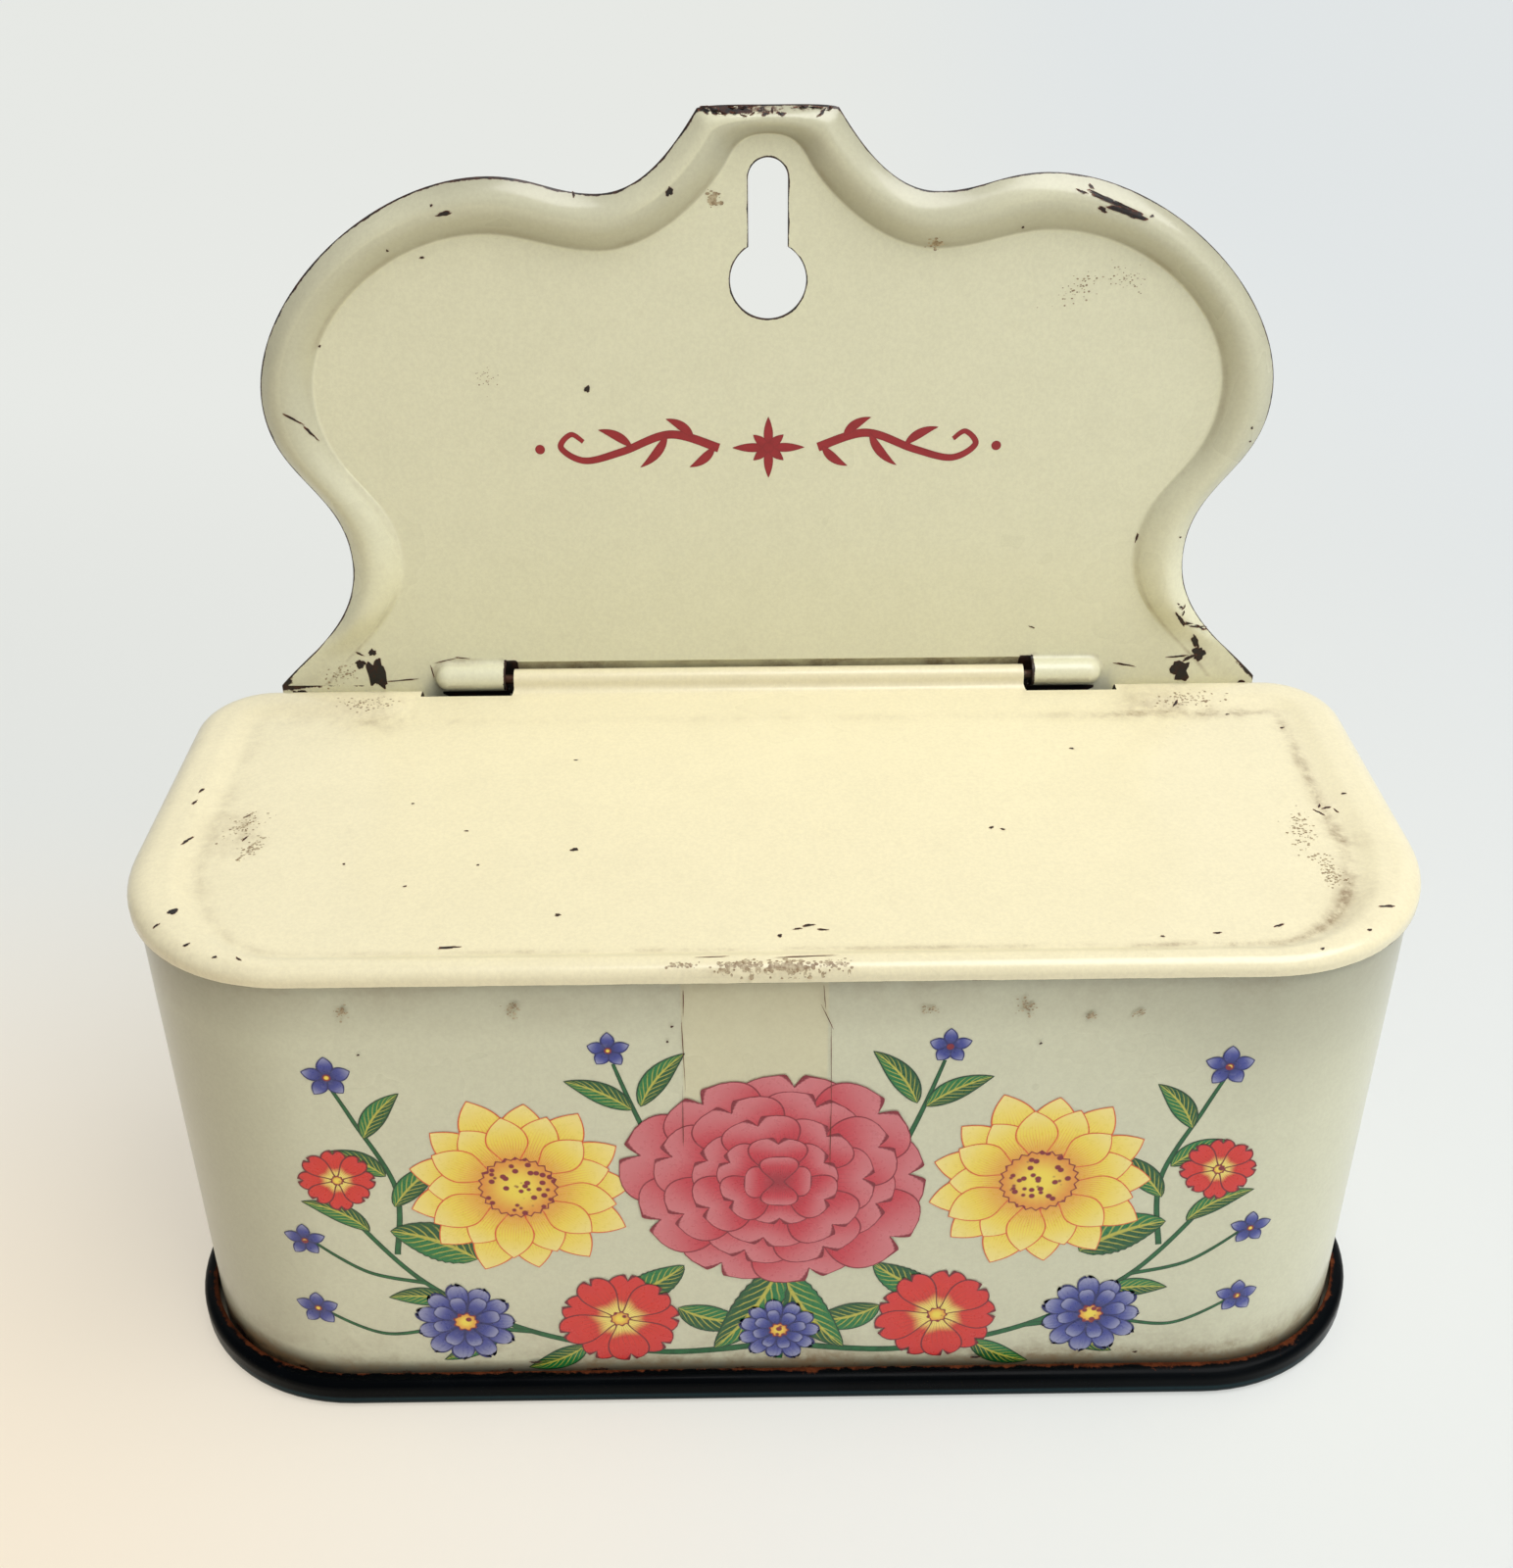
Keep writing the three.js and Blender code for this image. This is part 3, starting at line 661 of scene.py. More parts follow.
def drawn_wire(finish):
    r = Recipe("hinge_steel")
    lines = r.noise(320, 4, 0.6, at=r.stretch(8, 1, 1))
    stain = r.noise(150, 5, 0.7)
    base = r.fade(stain, 0.4, 0.66, linear(finish.tin, 0.25), linear(finish.rust, 0.6))
    return r.done(base, r.rough(lines, 0.45, 0.65), Metallic=0.6)


def petal_ink(name, base, deep, pale, line, veins, hatch, centre=None):
    """Printed petal: shaded from root to tip, hatched and edged in a darker ink."""
    r = Recipe(name)
    along, across, seed = r.motif()
    tone = r.fade(along, 0.0, 0.62, deep, base)
    tone = r.tint(r.step(along, 0.5, 1.05, 0, 0.85), tone, pale)
    if centre:
        tone = r.fade(along, 0.42, 0.12, tone, centre)
    fan = r.add(r.times(across, veins), r.times(seed, 3))
    fan = r.add(fan, r.swing(r.noise(160, 2), 1.4))
    reach = r.less(r.step(along, 0.95, 0.15), r.times(r.math("ABSOLUTE", across), 0.25))
    stroke = r.times(r.step(r.stripes(fan), 0.36, 0.46), r.times(reach, hatch), clamp=True)
    tone = r.tint(stroke, tone, line)
    tone = r.fade(r.value("rim"), 0.26, 0.14, tone, line)
    return r.printed(tone, pale, 0.16)


def leaf_ink(name, base, deep, pale):
    """Leaf with a pale midrib, side veins and a darker lower half."""
    r = Recipe(name)
    along, across, seed = r.motif()
    side = r.math("ABSOLUTE", across)
    slant = r.add(r.less(r.times(along, 9), r.times(side, 2.6)), seed)
    vein = r.times(r.step(r.stripes(slant), 0.33, 0.45), r.step(side, 0.95, 0.5))
    tone = r.tint(r.times(vein, 0.75), r.fade(across, -0.25, 0.25, deep, base), pale)
    tone = r.tint(r.step(side, 0.13, 0.05, 0, 0.9), tone, pale)
    tone = r.fade(r.value("rim"), 0.24, 0.1, tone, blend(deep, BLACK, 0.55))
    return r.printed(tone, pale, 0.12)


def flat_ink(name, base, dark):
    """Ink of stems and fine lines, with the grain of the print."""
    r = Recipe(name)
    grain = r.noise(900, 4, 0.65)
    tone = r.tint(r.step(grain, 0.35, 0.7, 0, 0.5), base, dark)
    tone = r.tint(r.step(r.value("rim"), 0.2, 0.08, 0, 0.7), tone, dark)
    return r.done(tone, r.rough(grain, 0.3, 0.4), **COAT)


def dotted_ink(name, base, dark, pale):
    """Middle of a flower: seeds printed as dots."""
    r = Recipe(name)
    dots = r.node("TexVoronoi", {"Vector": r.place, "Scale": 900}, "Distance")
    tone = r.fade(r.motif()[0], 0.2, 1.0, pale, base)
    tone = r.fade(dots, 0.42, 0.28, tone, dark)
    tone = r.fade(r.value("rim"), 0.3, 0.12, tone, dark)
    return r.done(tone, r.step(dots, 0.1, 0.6, 0.28, 0.36), **COAT)


def speck_ink(finish):
    """Fine brown-grey dirt that gathers to a soft stain."""
    r = Recipe("stain_specks")
    grain = r.noise(1500, 4, 0.7)
    pale = blend(linear(finish.grime), linear(finish.cream), 0.45)
    base = r.fade(grain, 0.35, 0.65, linear(finish.grime, 0.9), pale)
    return r.done(base, r.rough(grain, 0.35, 0.5))


def lost_paint_and_shadow(finish):
    """Spots where the paint has flaked off: black metal with a thin brown border; it also colours the
    painted shadows under the wire pockets.
    """
    r = Recipe("flaked_spots_and_shadows")
    grain = r.noise(1300, 5, 0.7)
    base = r.fade(grain, 0.45, 0.75, linear(finish.undercoat), linear(finish.rust, 0.5))
    base = r.fade(r.value("rim"), 0.07, 0.0, base, linear(finish.rust, 1.4))
    return r.done(base, r.rough(grain, 0.45, 0.7))


class Print:
    """Motifs laid on a surface as thin films, each a little above the last."""

    def __init__(self, place, first=0.02, rise=0.008):
        self.place, self.first, self.rise, self.films = place, first, rise, 0
        self.skin = Skin("rim")
        self.motif = self.skin.bm.verts.layers.float_vector.new("motif")

    def film(self, rows, level, ink):
        """Add a grid; its rows hold x, z, along, across, seed and rim of every point."""
        self.films += 1
        lift = self.first + self.rise * (level + self.films % 9 / 10)
        made = []
        for row in rows:
            line = []
            for x, z, along, across, seed, rim in row:
                v = self.skin.point(self.place(x, z, lift), rim=rim)
                v[self.motif] = (along, across, seed)
                line.append(v)
            made.append(line)
        self.skin.grid(made, material=ink)

    def blade(self, root, tip, width, ink, level, form="leaf", bend=0.0, seed=0.0):
        """Petal or leaf from root to tip; bend moves its middle sideways."""
        (x0, z0), (x1, z1) = root, tip
        dx, dz = x1 - x0, z1 - z0
        reach = hypot(dx, dz)
        mx, mz = (x0 + x1) / 2 - dz * bend, (z0 + z1) / 2 + dx * bend
        rows = []
        for i in range(23):
            u = i / 22
            w = width * breadth(form, u)
            row = []
            for k in range(11):
                v = -1 + k / 5
                t = u
                if form == "heart":
                    t = u * (1 - 0.16 * (1 - abs(v)) ** 1.5)
                if form == "ragged":
                    t = u * (1 - 0.1 * abs(sin(v * 7 + seed * 9)))
                cx = (1 - t) ** 2 * x0 + 2 * t * (1 - t) * mx + t * t * x1
                cz = (1 - t) ** 2 * z0 + 2 * t * (1 - t) * mz + t * t * z1
                tx = (1 - t) * (mx - x0) + t * (x1 - mx)
                tz = (1 - t) * (mz - z0) + t * (z1 - mz)
                size = hypot(tx, tz) or 1
                rim = min((1 - abs(v)) * w, (1 - u) * reach + 0.02)
                row.append((cx - tz / size * w * v, cz + tx / size * w * v, u, v, seed, rim))
            rows.append(row)
        self.film(rows, level, ink)

    def disc(self, centre, radius, ink, level, lobes=0, depth=0.0):
        rows = []
        for share in (k / 5 for k in range(6)):
            row = []
            for i in range(49):
                a = i / 48 * 2 * pi
                q = radius * share * (1 + depth * cos(lobes * a) * share**2)
                x, z = centre[0] + q * cos(a), centre[1] + q * sin(a)
                row.append((x, z, share, i / 48, 0.0, radius * (1 - share)))
            rows.append(row)
        self.film(rows, level, ink)

    def ring(self, centre, size, petals, ink, level, form, seed, turn=0.0, squeeze=1.0):
        """Petals round a middle, every other one a film higher.

        The petals are given by their number, then root, tip and half width as shares of the size.
        """
        count, inner, outer, width = petals
        rng = random.Random(seed)
        for i in range(count):
            a = (i + turn) / count * 2 * pi
            c, s = cos(a), sin(a) * squeeze
            far = outer * size * rng.uniform(0.94, 1.05)
            root = (centre[0] + inner * size * c, centre[1] + inner * size * s)
            tip = (centre[0] + far * c, centre[1] + far * s)
            wide = width * size * rng.uniform(0.94, 1.06)
            bend = rng.uniform(-0.03, 0.03)
            self.blade(root, tip, wide, ink, level + i % 2, form, bend, rng.random())


def breadth(form, u):
    """Half breadth of a motif along its length, as a share of its greatest."""
    if form == "leaf":
        return sin(pi * u**0.82) ** 0.85 if 0 < u < 1 else 0.0
    if form == "saw":
        teeth = 1 - 0.2 * (u * 11 % 1) * (1 - u)
        return sin(pi * u**0.8) ** 0.7 * teeth if 0 < u < 1 else 0.0
    if form == "point":
        return 0.35 + 0.65 * smooth(0, 0.5, u) if u < 0.5 else (1 - ((u - 0.5) * 2) ** 2.2)
    if u < 0.66:
        return 0.3 + 0.7 * sin(u / 0.66 * QUARTER) ** 1.4
    return sqrt(max(1 - ((u - 0.66) / 0.345) ** 2.4, 0))


def flower_inks(finish):
    pink, yellow, orange = linear(finish.pink), linear(finish.yellow), linear(finish.orange)
    blue, leaf = linear(finish.blue), linear(finish.leaf)
    wine = blend(pink, (0.09, 0.0, 0.01, 1), 0.72)
    night = blend(blue, (0.0, 0.0, 0.07, 1), 0.76)
    gold = blend(orange, yellow, 0.12)
    rosy = (blend(orange, wine, 0.3), blend(orange, pink, 0.3), blend(wine, BLACK, 0.3))
    sunny = (blend(yellow, orange, 0.5), blend(yellow, WHITE, 0.25), gold)
    warm = blend(yellow, WHITE, 0.1)
    return [
        petal_ink("petal_pink", pink, blend(pink, wine, 0.6), blend(pink, WHITE, 0.2), wine, 8, 0.7),
        petal_ink("petal_yellow", yellow, *sunny, 7, 0.8),
        petal_ink("petal_orange", orange, *rosy, 4, 0.45, warm),
        petal_ink("petal_blue", blue, night, blend(blue, WHITE, 0.35), night, 5, 0.6),
        leaf_ink("leaf_green", leaf, blend(leaf, BLACK, 0.5), blend(leaf, yellow, 0.6)),
        flat_ink("stem_green", blend(leaf, BLACK, 0.25), blend(leaf, BLACK, 0.8)),
        dotted_ink("flower_middle", blend(orange, yellow, 0.4), wine, yellow),
    ]


PINK, YELLOW, ORANGE, BLUE, LEAF, STEM, SEEDS = range(7)

# Number of petals, then root, tip and half width as shares of the blossom's size
PEONY_RINGS = ((9, 0.3, 1, 0.36), (8, 0.22, 0.8, 0.31), (7, 0.14, 0.6, 0.26), (6, 0.06, 0.41, 0.2))


def peony(p, centre, size, level, seed):
    """Large blossom of four rings of notched petals round a closed bud."""
    for k, petals in enumerate(PEONY_RINGS):
        turn = k * 0.47 + seed * 0.1
        p.ring(centre, size, petals, PINK, level + 2 * k, "heart", seed + k, turn, 0.92)
    p.ring(centre, size, (4, 0, 0.22, 0.13), PINK, level + 8, "round", seed + 9)


def sun_flower(p, centre, size, level, seed):
    p.ring(centre, size, (13, 0.3, 1, 0.2), YELLOW, level, "point", seed)
    p.ring(centre, size, (13, 0.25, 0.84, 0.19), YELLOW, level + 2, "point", seed + 1, 0.5)
    p.disc(centre, 0.34 * size, SEEDS, level + 4, 24, 0.05)


def daisy(p, centre, size, level, seed, count=9):
    p.ring(centre, size, (count, 0.12, 1, 0.33), ORANGE, level, "heart", seed)
    p.disc(centre, 0.16 * size, SEEDS, level + 2, 9, 0.1)


def corn_flower(p, centre, size, level, seed):
    p.ring(centre, size, (11, 0.2, 1, 0.21), BLUE, level, "ragged", seed)
    p.ring(centre, size, (8, 0.12, 0.66, 0.17), BLUE, level + 2, "round", seed + 3, 0.3)
    p.disc(centre, 0.22 * size, SEEDS, level + 4, 9, 0.12)


def star(p, centre, size, level, seed):
    p.ring(centre, size, (5, 0, 1, 0.34), BLUE, level, "point", seed, 0.25)
    p.disc(centre, 0.17 * size, SEEDS, level + 2)


def curve_points(nodes, steps=14):
    """Points on a smooth line through the nodes."""
    points = []
    for i in range(len(nodes) - 1):
        near = nodes[max(i - 1, 0)], nodes[i], nodes[i + 1], nodes[min(i + 2, len(nodes) - 1)]
        for k in range(steps):
            t = k / steps
            w = (
                -0.5 * t + t * t - 0.5 * t**3,
                1 - 2.5 * t * t + 1.5 * t**3,
                0.5 * t + 2 * t * t - 1.5 * t**3,
                -0.5 * t * t + 0.5 * t**3,
            )
            points.append(tuple(sum(wi * q[j] for wi, q in zip(w, near)) for j in (0, 1)))
    return [*points, nodes[-1]]


def stroke(p, nodes, width_start, width_end, ink, level):
    """Line of changing width through the nodes."""
    line = curve_points(nodes)
    last = len(line) - 1
    rows = []
    for i, (x, z) in enumerate(line):
        before, after = line[max(i - 1, 0)], line[min(i + 1, last)]
        dx, dz = after[0] - before[0], after[1] - before[1]
        size = hypot(dx, dz) or 1
        t = i / last
        w = mix(width_start, width_end, t)
        row = []
        for v in (-1, 0, 1):
            row.append((x - dz / size * w * v, z + dx / size * w * v, t, v, 0.0, (1 - abs(v)) * w))
        rows.append(row)
    p.film(rows, level, ink)


# Right half of the garland, in millimetres from its middle line and over the table.
# Stems: half width at both ends, then the line. Leaves: root, tip, half width, level, form,
# bend and seed. Flowers: middle, size, level and seed.
STEMS = (
    (0.55, 0.3, (2, 8), (16, 7), (32, 11), (45, 20), (54, 33)),
    (0.4, 0.22, (32, 11), (42, 12), (51, 11), (58, 15)),
    (0.35, 0.2, (45, 20), (52, 22), (58, 27)),
    (0.4, 0.22, (48, 25), (47, 36), (51, 47), (53, 52)),
    (0.4, 0.22, (13, 36), (17, 47), (19.5, 55)),
)
LEAVES = (
    ((17.5, 48), (25.5, 52.5), 1.6, 3, "leaf", 0.12, 0.1),
    ((16.5, 48.5), (11, 56.5), 1.6, 3, "leaf", -0.15, 0.7),
    ((13, 15), (3.5, 12.5), 2.3, 5, "leaf", 0.2, 0.2),
    ((20, 17), (12, 22.5), 2.4, 5, "saw", 0.1, 0.5),
    ((38, 24), (48.5, 29), 3.2, 4, "saw", 0.14, 0.8),
    ((25, 8.5), (33, 4.4), 1.7, 1, "leaf", -0.15, 0.4),
    ((36, 13), (44, 6.0), 1.8, 1, "leaf", -0.18, 0.9),
    ((42, 17), (50, 17.5), 1.6, 1, "leaf", 0.1, 0.6),
    ((47.5, 33), (41, 40), 1.7, 1, "leaf", -0.12, 0.15),
    ((48, 38), (55, 42), 1.6, 1, "leaf", 0.16, 0.55),
    ((50, 44), (45, 51), 1.5, 1, "leaf", -0.16, 0.35),
    ((51, 29), (59, 34), 1.5, 1, "leaf", 0.2, 0.65),
)
FLOWERS = (
    (sun_flower, (32, 36), 14, 6, 11),
    (daisy, (20.5, 13.2), 8, 12, 21),
    (corn_flower, (40.5, 13), 7, 8, 31),
    (daisy, (54, 37.5), 4.8, 6, 41, 8),
    (star, (59.3, 15.6), 2.9, 4, 51),
    (star, (59.4, 27.4), 2.7, 4, 52),
    (star, (53.2, 53.5), 3.0, 4, 53),
    (star, (20, 57), 2.6, 4, 54),
)


def garland(p):
    """Mirrored folk garland: peony in the middle, sun flowers, daisies and stars beside it."""
    for side in (-1, 1):
        for start, end, *nodes in STEMS:
            stroke(p, [(side * x, z) for x, z in nodes], start, end, STEM, 0)
        for (x0, z0), (x1, z1), width, level, form, bend, seed in LEAVES:
            p.blade((side * x0, z0), (side * x1, z1), width, LEAF, level, form, bend * side, seed)
        for flower, (x, z), *rest in FLOWERS:
            flower(p, (side * x, z), *rest)
    p.blade((0, 22), (-8.5, 7.5), 3.0, LEAF, 6, "saw", 0.12, 0.3)
    p.blade((0, 22), (8.5, 7.5), 3.0, LEAF, 6, "saw", -0.12, 0.6)
    stroke(p, [(0, 20), (0.4, 12), (0, 5.5)], 0.7, 0.45, STEM, 5)
    corn_flower(p, (0, 10.8), 5.6, 15, 61)
    peony(p, (0, 36.5), 19.0, 14, 71)


# Line of the figure's scroll, and root and tip of each leaf on it, from the figure's middle
SCROLL = ((6.6, 0), (13, 1.9), (19.5, -0.4), (24.5, -1.6), (27.6, 0.2), (26.2, 2.0), (24.6, 1.0))
SPRIGS = (
    (10, 1.5, 13.6, 4.0), (13.5, 1.9, 17.2, -2.6), (18.2, 0.2, 22.6, 2.6), (7.2, 0.2, 10.6, -2.6)
)


def plate_figure(p, middle=109.4):
    """Small printed figure: a star of eight leaves between tapering scrolls."""
    for i in range(8):
        a = i / 8 * 2 * pi
        long = 2.5 if i % 2 else 4.2
        p.blade((0, middle), (long * cos(a) * 1.15, middle + long * sin(a)), 0.62, 0, i % 2)
    p.disc((0, middle), 0.75, 0, 3)
    for side in (-1, 1):
        stroke(p, [(side * x, middle + z) for x, z in SCROLL], 0.62, 0.3, 0, 0)
        for x, z, tx, tz in SPRIGS:
            bend = copysign(0.18, tz - z) * side
            p.blade((side * x, middle + z), (side * tx, middle + tz), 0.62, 0, 1, "leaf", bend)
        p.disc((side * 30.4, middle), 0.65, 0, 0)


def flake(p, x, z, long, wide, angle, seed, level):
    """Irregular spot where the paint has come off."""
    rng = random.Random(seed)
    waves = [(turns, high, rng.uniform(0, 6.28)) for turns, high in FLAKE_WAVES]
    c, s = cos(radians(angle)), sin(radians(angle))
    blunt = 0.6 if wide > 2 else 1
    rows = []
    for share in (0, 0.5, 1):
        row = []
        rim = (1 - share) * min(long, wide) / 2
        for i in range(33):
            a = i / 32 * 2 * pi
            q = share * (1 + 0.35 * sum(high * sin(turns * a + phase) for turns, high, phase in waves))
            u = long / 2 * copysign(abs(cos(a)) ** blunt, cos(a)) * q
            v = wide / 2 * copysign(abs(sin(a)) ** blunt, sin(a)) * q
            row.append((x + u * c - v * s, z + u * s + v * c, share, i / 32, 0.0, rim))
        rows.append(row)
    p.film(rows, level, 0)


def stain(p, x, z, long, wide, angle, strength, seed):
    """Cloud of small specks, thicker towards its middle."""
    rng = random.Random(seed)
    c, s = cos(radians(angle)), sin(radians(angle))
    for n in range(int(22 + 34 * strength * sqrt(long * wide))):
        u, v = rng.gauss(0, long * 0.27), rng.gauss(0, wide * 0.27)
        size = rng.uniform(0.06, 0.1 + 0.26 * strength)
        slim, turn = rng.uniform(0.4, 0.9), rng.uniform(0, 3.1)
        cx, cz = x + u * c - v * s, z + u * s + v * c
        rows = []
        for k in (0, 1):
            row = []
            for i in range(8):
                a = i / 7 * 2 * pi + turn
                row.append((cx + size * k * cos(a), cz + size * k * slim * sin(a), k, i / 7, 0.0, 0.0))
            rows.append(row)
        p.film(rows, n % 8, 1)


# Flakes: place on the surface, length, width and angle. Smudges: the same, then strength.
PLATE_FLAKES = [
    (-23.7, 117.5, 0.9, 0.75, 10), (-39.9, 140.0, 2.1, 0.5, 8), (-41.4, 141.0, 0.4, 0.3, 0),
    (-12.1, 142.4, 0.8, 1.2, -10), (42.2, 140.9, 5.6, 0.65, -22), (44.6, 139.5, 4.6, 1.0, -19),
    (41.3, 139.9, 1.4, 0.5, -30), (38.6, 142.0, 1.3, 0.3, -20), (39.8, 142.5, 0.9, 0.3, -35),
    (47.6, 139.0, 0.5, 0.35, 0), (-62.2, 114.4, 3.0, 0.28, -38), (-60.3, 112.3, 2.8, 0.28, -56),
    (-55.9, 76.7, 4.7, 2.2, 97), (-58.1, 78.2, 1.5, 1.2, -30), (-58.0, 79.8, 1.4, 0.25, -30),
    (-56.2, 80.0, 1.2, 0.9, 60), (-52.3, 75.6, 4.2, 0.22, 4), (59.1, 75.9, 2.8, 2.6, 84),
    (61.4, 78.5, 2.1, 1.8, 60), (60.6, 80.5, 2.8, 0.75, -66), (58.4, 78.1, 2.6, 0.32, 4),
    (60.1, 77.9, 1.8, 0.6, 30), (57.4, 86.6, 1.2, 0.3, -45), (58.0, 86.2, 0.9, 0.25, 40),
    (57.8, 84.4, 2.5, 0.62, -52), (59.8, 83.3, 3.2, 0.6, -22), (61.3, 82.7, 1.8, 0.42, -14),
    (58.0, 85.4, 0.8, 0.3, 70), (50.6, 96.2, 1.3, 0.3, 76), (37.2, 82.9, 0.9, 0.2, -25),
    (50.9, 76.9, 3.4, 0.25, -12), (-43.6, 77.6, 0.35, 0.3, 0), (44.2, 77.4, 0.6, 0.45, 0),
    (41.0, 78.3, 0.7, 0.25, 40), (-47.5, 135.5, 0.35, 0.3, 0), (-57.8, 123.4, 0.35, 0.3, 0),
    (63.8, 112.0, 0.4, 0.35, 0), (64.0, 110.0, 0.4, 0.3, 0), (31.8, 137.6, 0.4, 0.3, 0),
    (-43.5, 134.4, 0.7, 0.25, 10), (-24.0, 141.9, 0.35, 0.6, 0), (56.3, 96.6, 0.35, 0.3, 0),
    (-6.9, 151.5, 3.4, 0.7, -4), (-3.2, 151.85, 3.0, 0.25, 0), (-0.3, 151.2, 1.0, 0.36, 4),
    (1.6, 151.2, 1.0, 0.45, 0), (0.5, 151.5, 0.3, 0.6, 10), (4.8, 151.8, 3.2, 0.25, -2),
    (6.9, 151.4, 2.0, 0.45, 22), (-1.6, 151.4, 1.2, 0.2, 30), (-3.6, 151.2, 2.0, 0.2, -12),
    (-46.0, 78.6, 3.4, 0.14, 14), (-43.6, 79.0, 2.4, 0.14, -8), (-48.0, 76.9, 0.14, 2.2, 10),
    (-67.2, 73.0, 2.8, 2.2, -30), (67.6, 72.9, 2.4, 2.0, 30),
]
PLATE_SMUDGES = [
    (-6.8, 141.3, 0.9, 1.0, 80, 1.0), (21.1, 135.7, 1.0, 0.8, 10, 0.5),
    (39.5, 129.8, 3.4, 1.6, 30, 0.25), (45.6, 131.0, 3.0, 1.8, -20, 0.2),
    (-37.0, 119.0, 1.8, 1.4, 0, 0.1), (-61.0, 76.6, 3.0, 1.6, 20, 0.35),
]
LID_FLAKES = [
    (-71.2, -50.6, 1.3, 0.95, 10), (-74.2, -26.0, 1.2, 0.35, 62), (-74.4, -28.7, 1.1, 0.35, 62),
    (-73.3, -36.5, 2.0, 0.4, 62), (-68.0, -56.6, 0.7, 0.45, 30), (-64.2, -58.8, 0.5, 0.4, 0),
    (-72.5, -53.0, 1.0, 0.3, 40), (-61.4, -59.2, 0.8, 0.3, -40), (-25.9, -51.2, 0.8, 0.45, 0),
    (-24.9, -38.6, 0.9, 0.7, 0), (3.6, -53.6, 1.6, 0.4, 6), (5.2, -54.4, 1.4, 0.3, -10),
    (2.3, -54.2, 1.2, 0.25, 10), (0.2, -55.4, 0.6, 0.5, 0), (27.4, -35.0, 0.8, 0.35, 30),
    (28.8, -35.4, 0.7, 0.3, -20), (71.8, -52.2, 1.8, 0.42, 0), (69.6, -32.6, 1.7, 0.32, -52),
    (70.8, -31.6, 1.5, 0.3, 14), (70.0, -31.2, 1.0, 0.25, 62), (71.8, -32.4, 0.9, 0.25, -75),
    (73.6, -29.3, 0.55, 0.4, 0), (68.4, -56.4, 0.5, 0.4, 0), (62.0, -59.6, 0.45, 0.35, 0),
    (-38.8, -34.5, 0.5, 0.3, 0), (-46.5, -28.5, 0.35, 0.3, 0), (-53.0, -41.0, 0.4, 0.3, 0),
    (-26.2, -19.0, 0.5, 0.3, 0), (-44.8, -45.5, 0.45, 0.3, 0), (-36.5, -41.5, 0.35, 0.3, 0),
    (3.0, -59.9, 7.0, 0.16, 2), (-7.5, -59.8, 3.4, 0.14, 3), (-38.0, -56.8, 2.4, 0.45, 2),
    (63.5, -9.5, 0.6, 0.3, 20), (70.2, -13.0, 0.8, 0.3, 30), (56.8, -7.0, 1.6, 0.35, 50),
    (40.5, -17.5, 0.7, 0.35, 0), (-67.2, -30.8, 1.1, 0.22, 50), (-66.4, -35.6, 1.3, 0.25, 62),
    (44.5, -56.3, 0.6, 0.25, 0), (51.0, -55.8, 1.1, 0.3, 12), (58.5, -54.6, 1.4, 0.35, 25),
]
LID_SMUDGES = [
    (-66.9, -32.8, 2.2, 4.2, -24, 0.4), (-65.0, -37.6, 1.2, 2.6, -24, 0.5),
    (66.2, -36.4, 1.6, 4.8, -8, 0.45), (67.4, -44.4, 1.8, 5.0, 6, 0.5),
    (-4.8, -61.1, 3.6, 0.8, 0, 0.8), (0.8, -61.2, 4.4, 0.9, 0, 0.95),
    (6.0, -61.1, 2.4, 0.7, 0, 0.6), (-11.0, -61.0, 1.8, 0.5, 0, 0.5),
    (-56.0, -5.4, 4.6, 1.6, 0, 0.4), (58.5, -6.2, 5.0, 1.8, 0, 0.5),
]
WALL_SMUDGES = [
    (-50.0, 63.3, 0.8, 1.3, 0, 0.35), (28.6, 62.9, 1.1, 1.5, 20, 0.35),
    (-30.6, 63.4, 0.8, 1.2, 0, 0.35), (17.4, 62.6, 1.3, 0.8, 0, 0.25),
    (36.0, 61.4, 0.6, 0.5, 0, 0.4), (41.6, 61.8, 0.8, 0.6, 0, 0.25),
]
WALL_FLAKES = [
    (-11.0, 64.0, 4.0, 0.1, 88), (-11.2, 57.0, 11.0, 0.09, 91), (-11.5, 46.5, 9.0, 0.08, 89),
    (5.2, 64.6, 3.0, 0.1, 94), (5.6, 61.6, 3.2, 0.12, 112), (6.1, 55.0, 10.0, 0.1, 91),
    (6.2, 44.0, 12.0, 0.08, 90), (-32.0, 5.6, 1.4, 0.4, 0), (26.0, 5.4, 1.8, 0.35, 0),
    (-49.0, 57.0, 0.35, 0.3, 0), (30.5, 57.5, 0.4, 0.3, 0), (-12.4, 60.6, 0.4, 0.3, 0),
    (-13.0, 58.4, 0.35, 0.3, 0), (47.0, 6.0, 0.8, 0.3, 0),
]


class PieceOperator:
    bl_options = {"REGISTER", "UNDO"}

    def execute(self, context):
        self.build(Tin(context.scene), context.scene.match_finish)
        return {"FINISHED"}


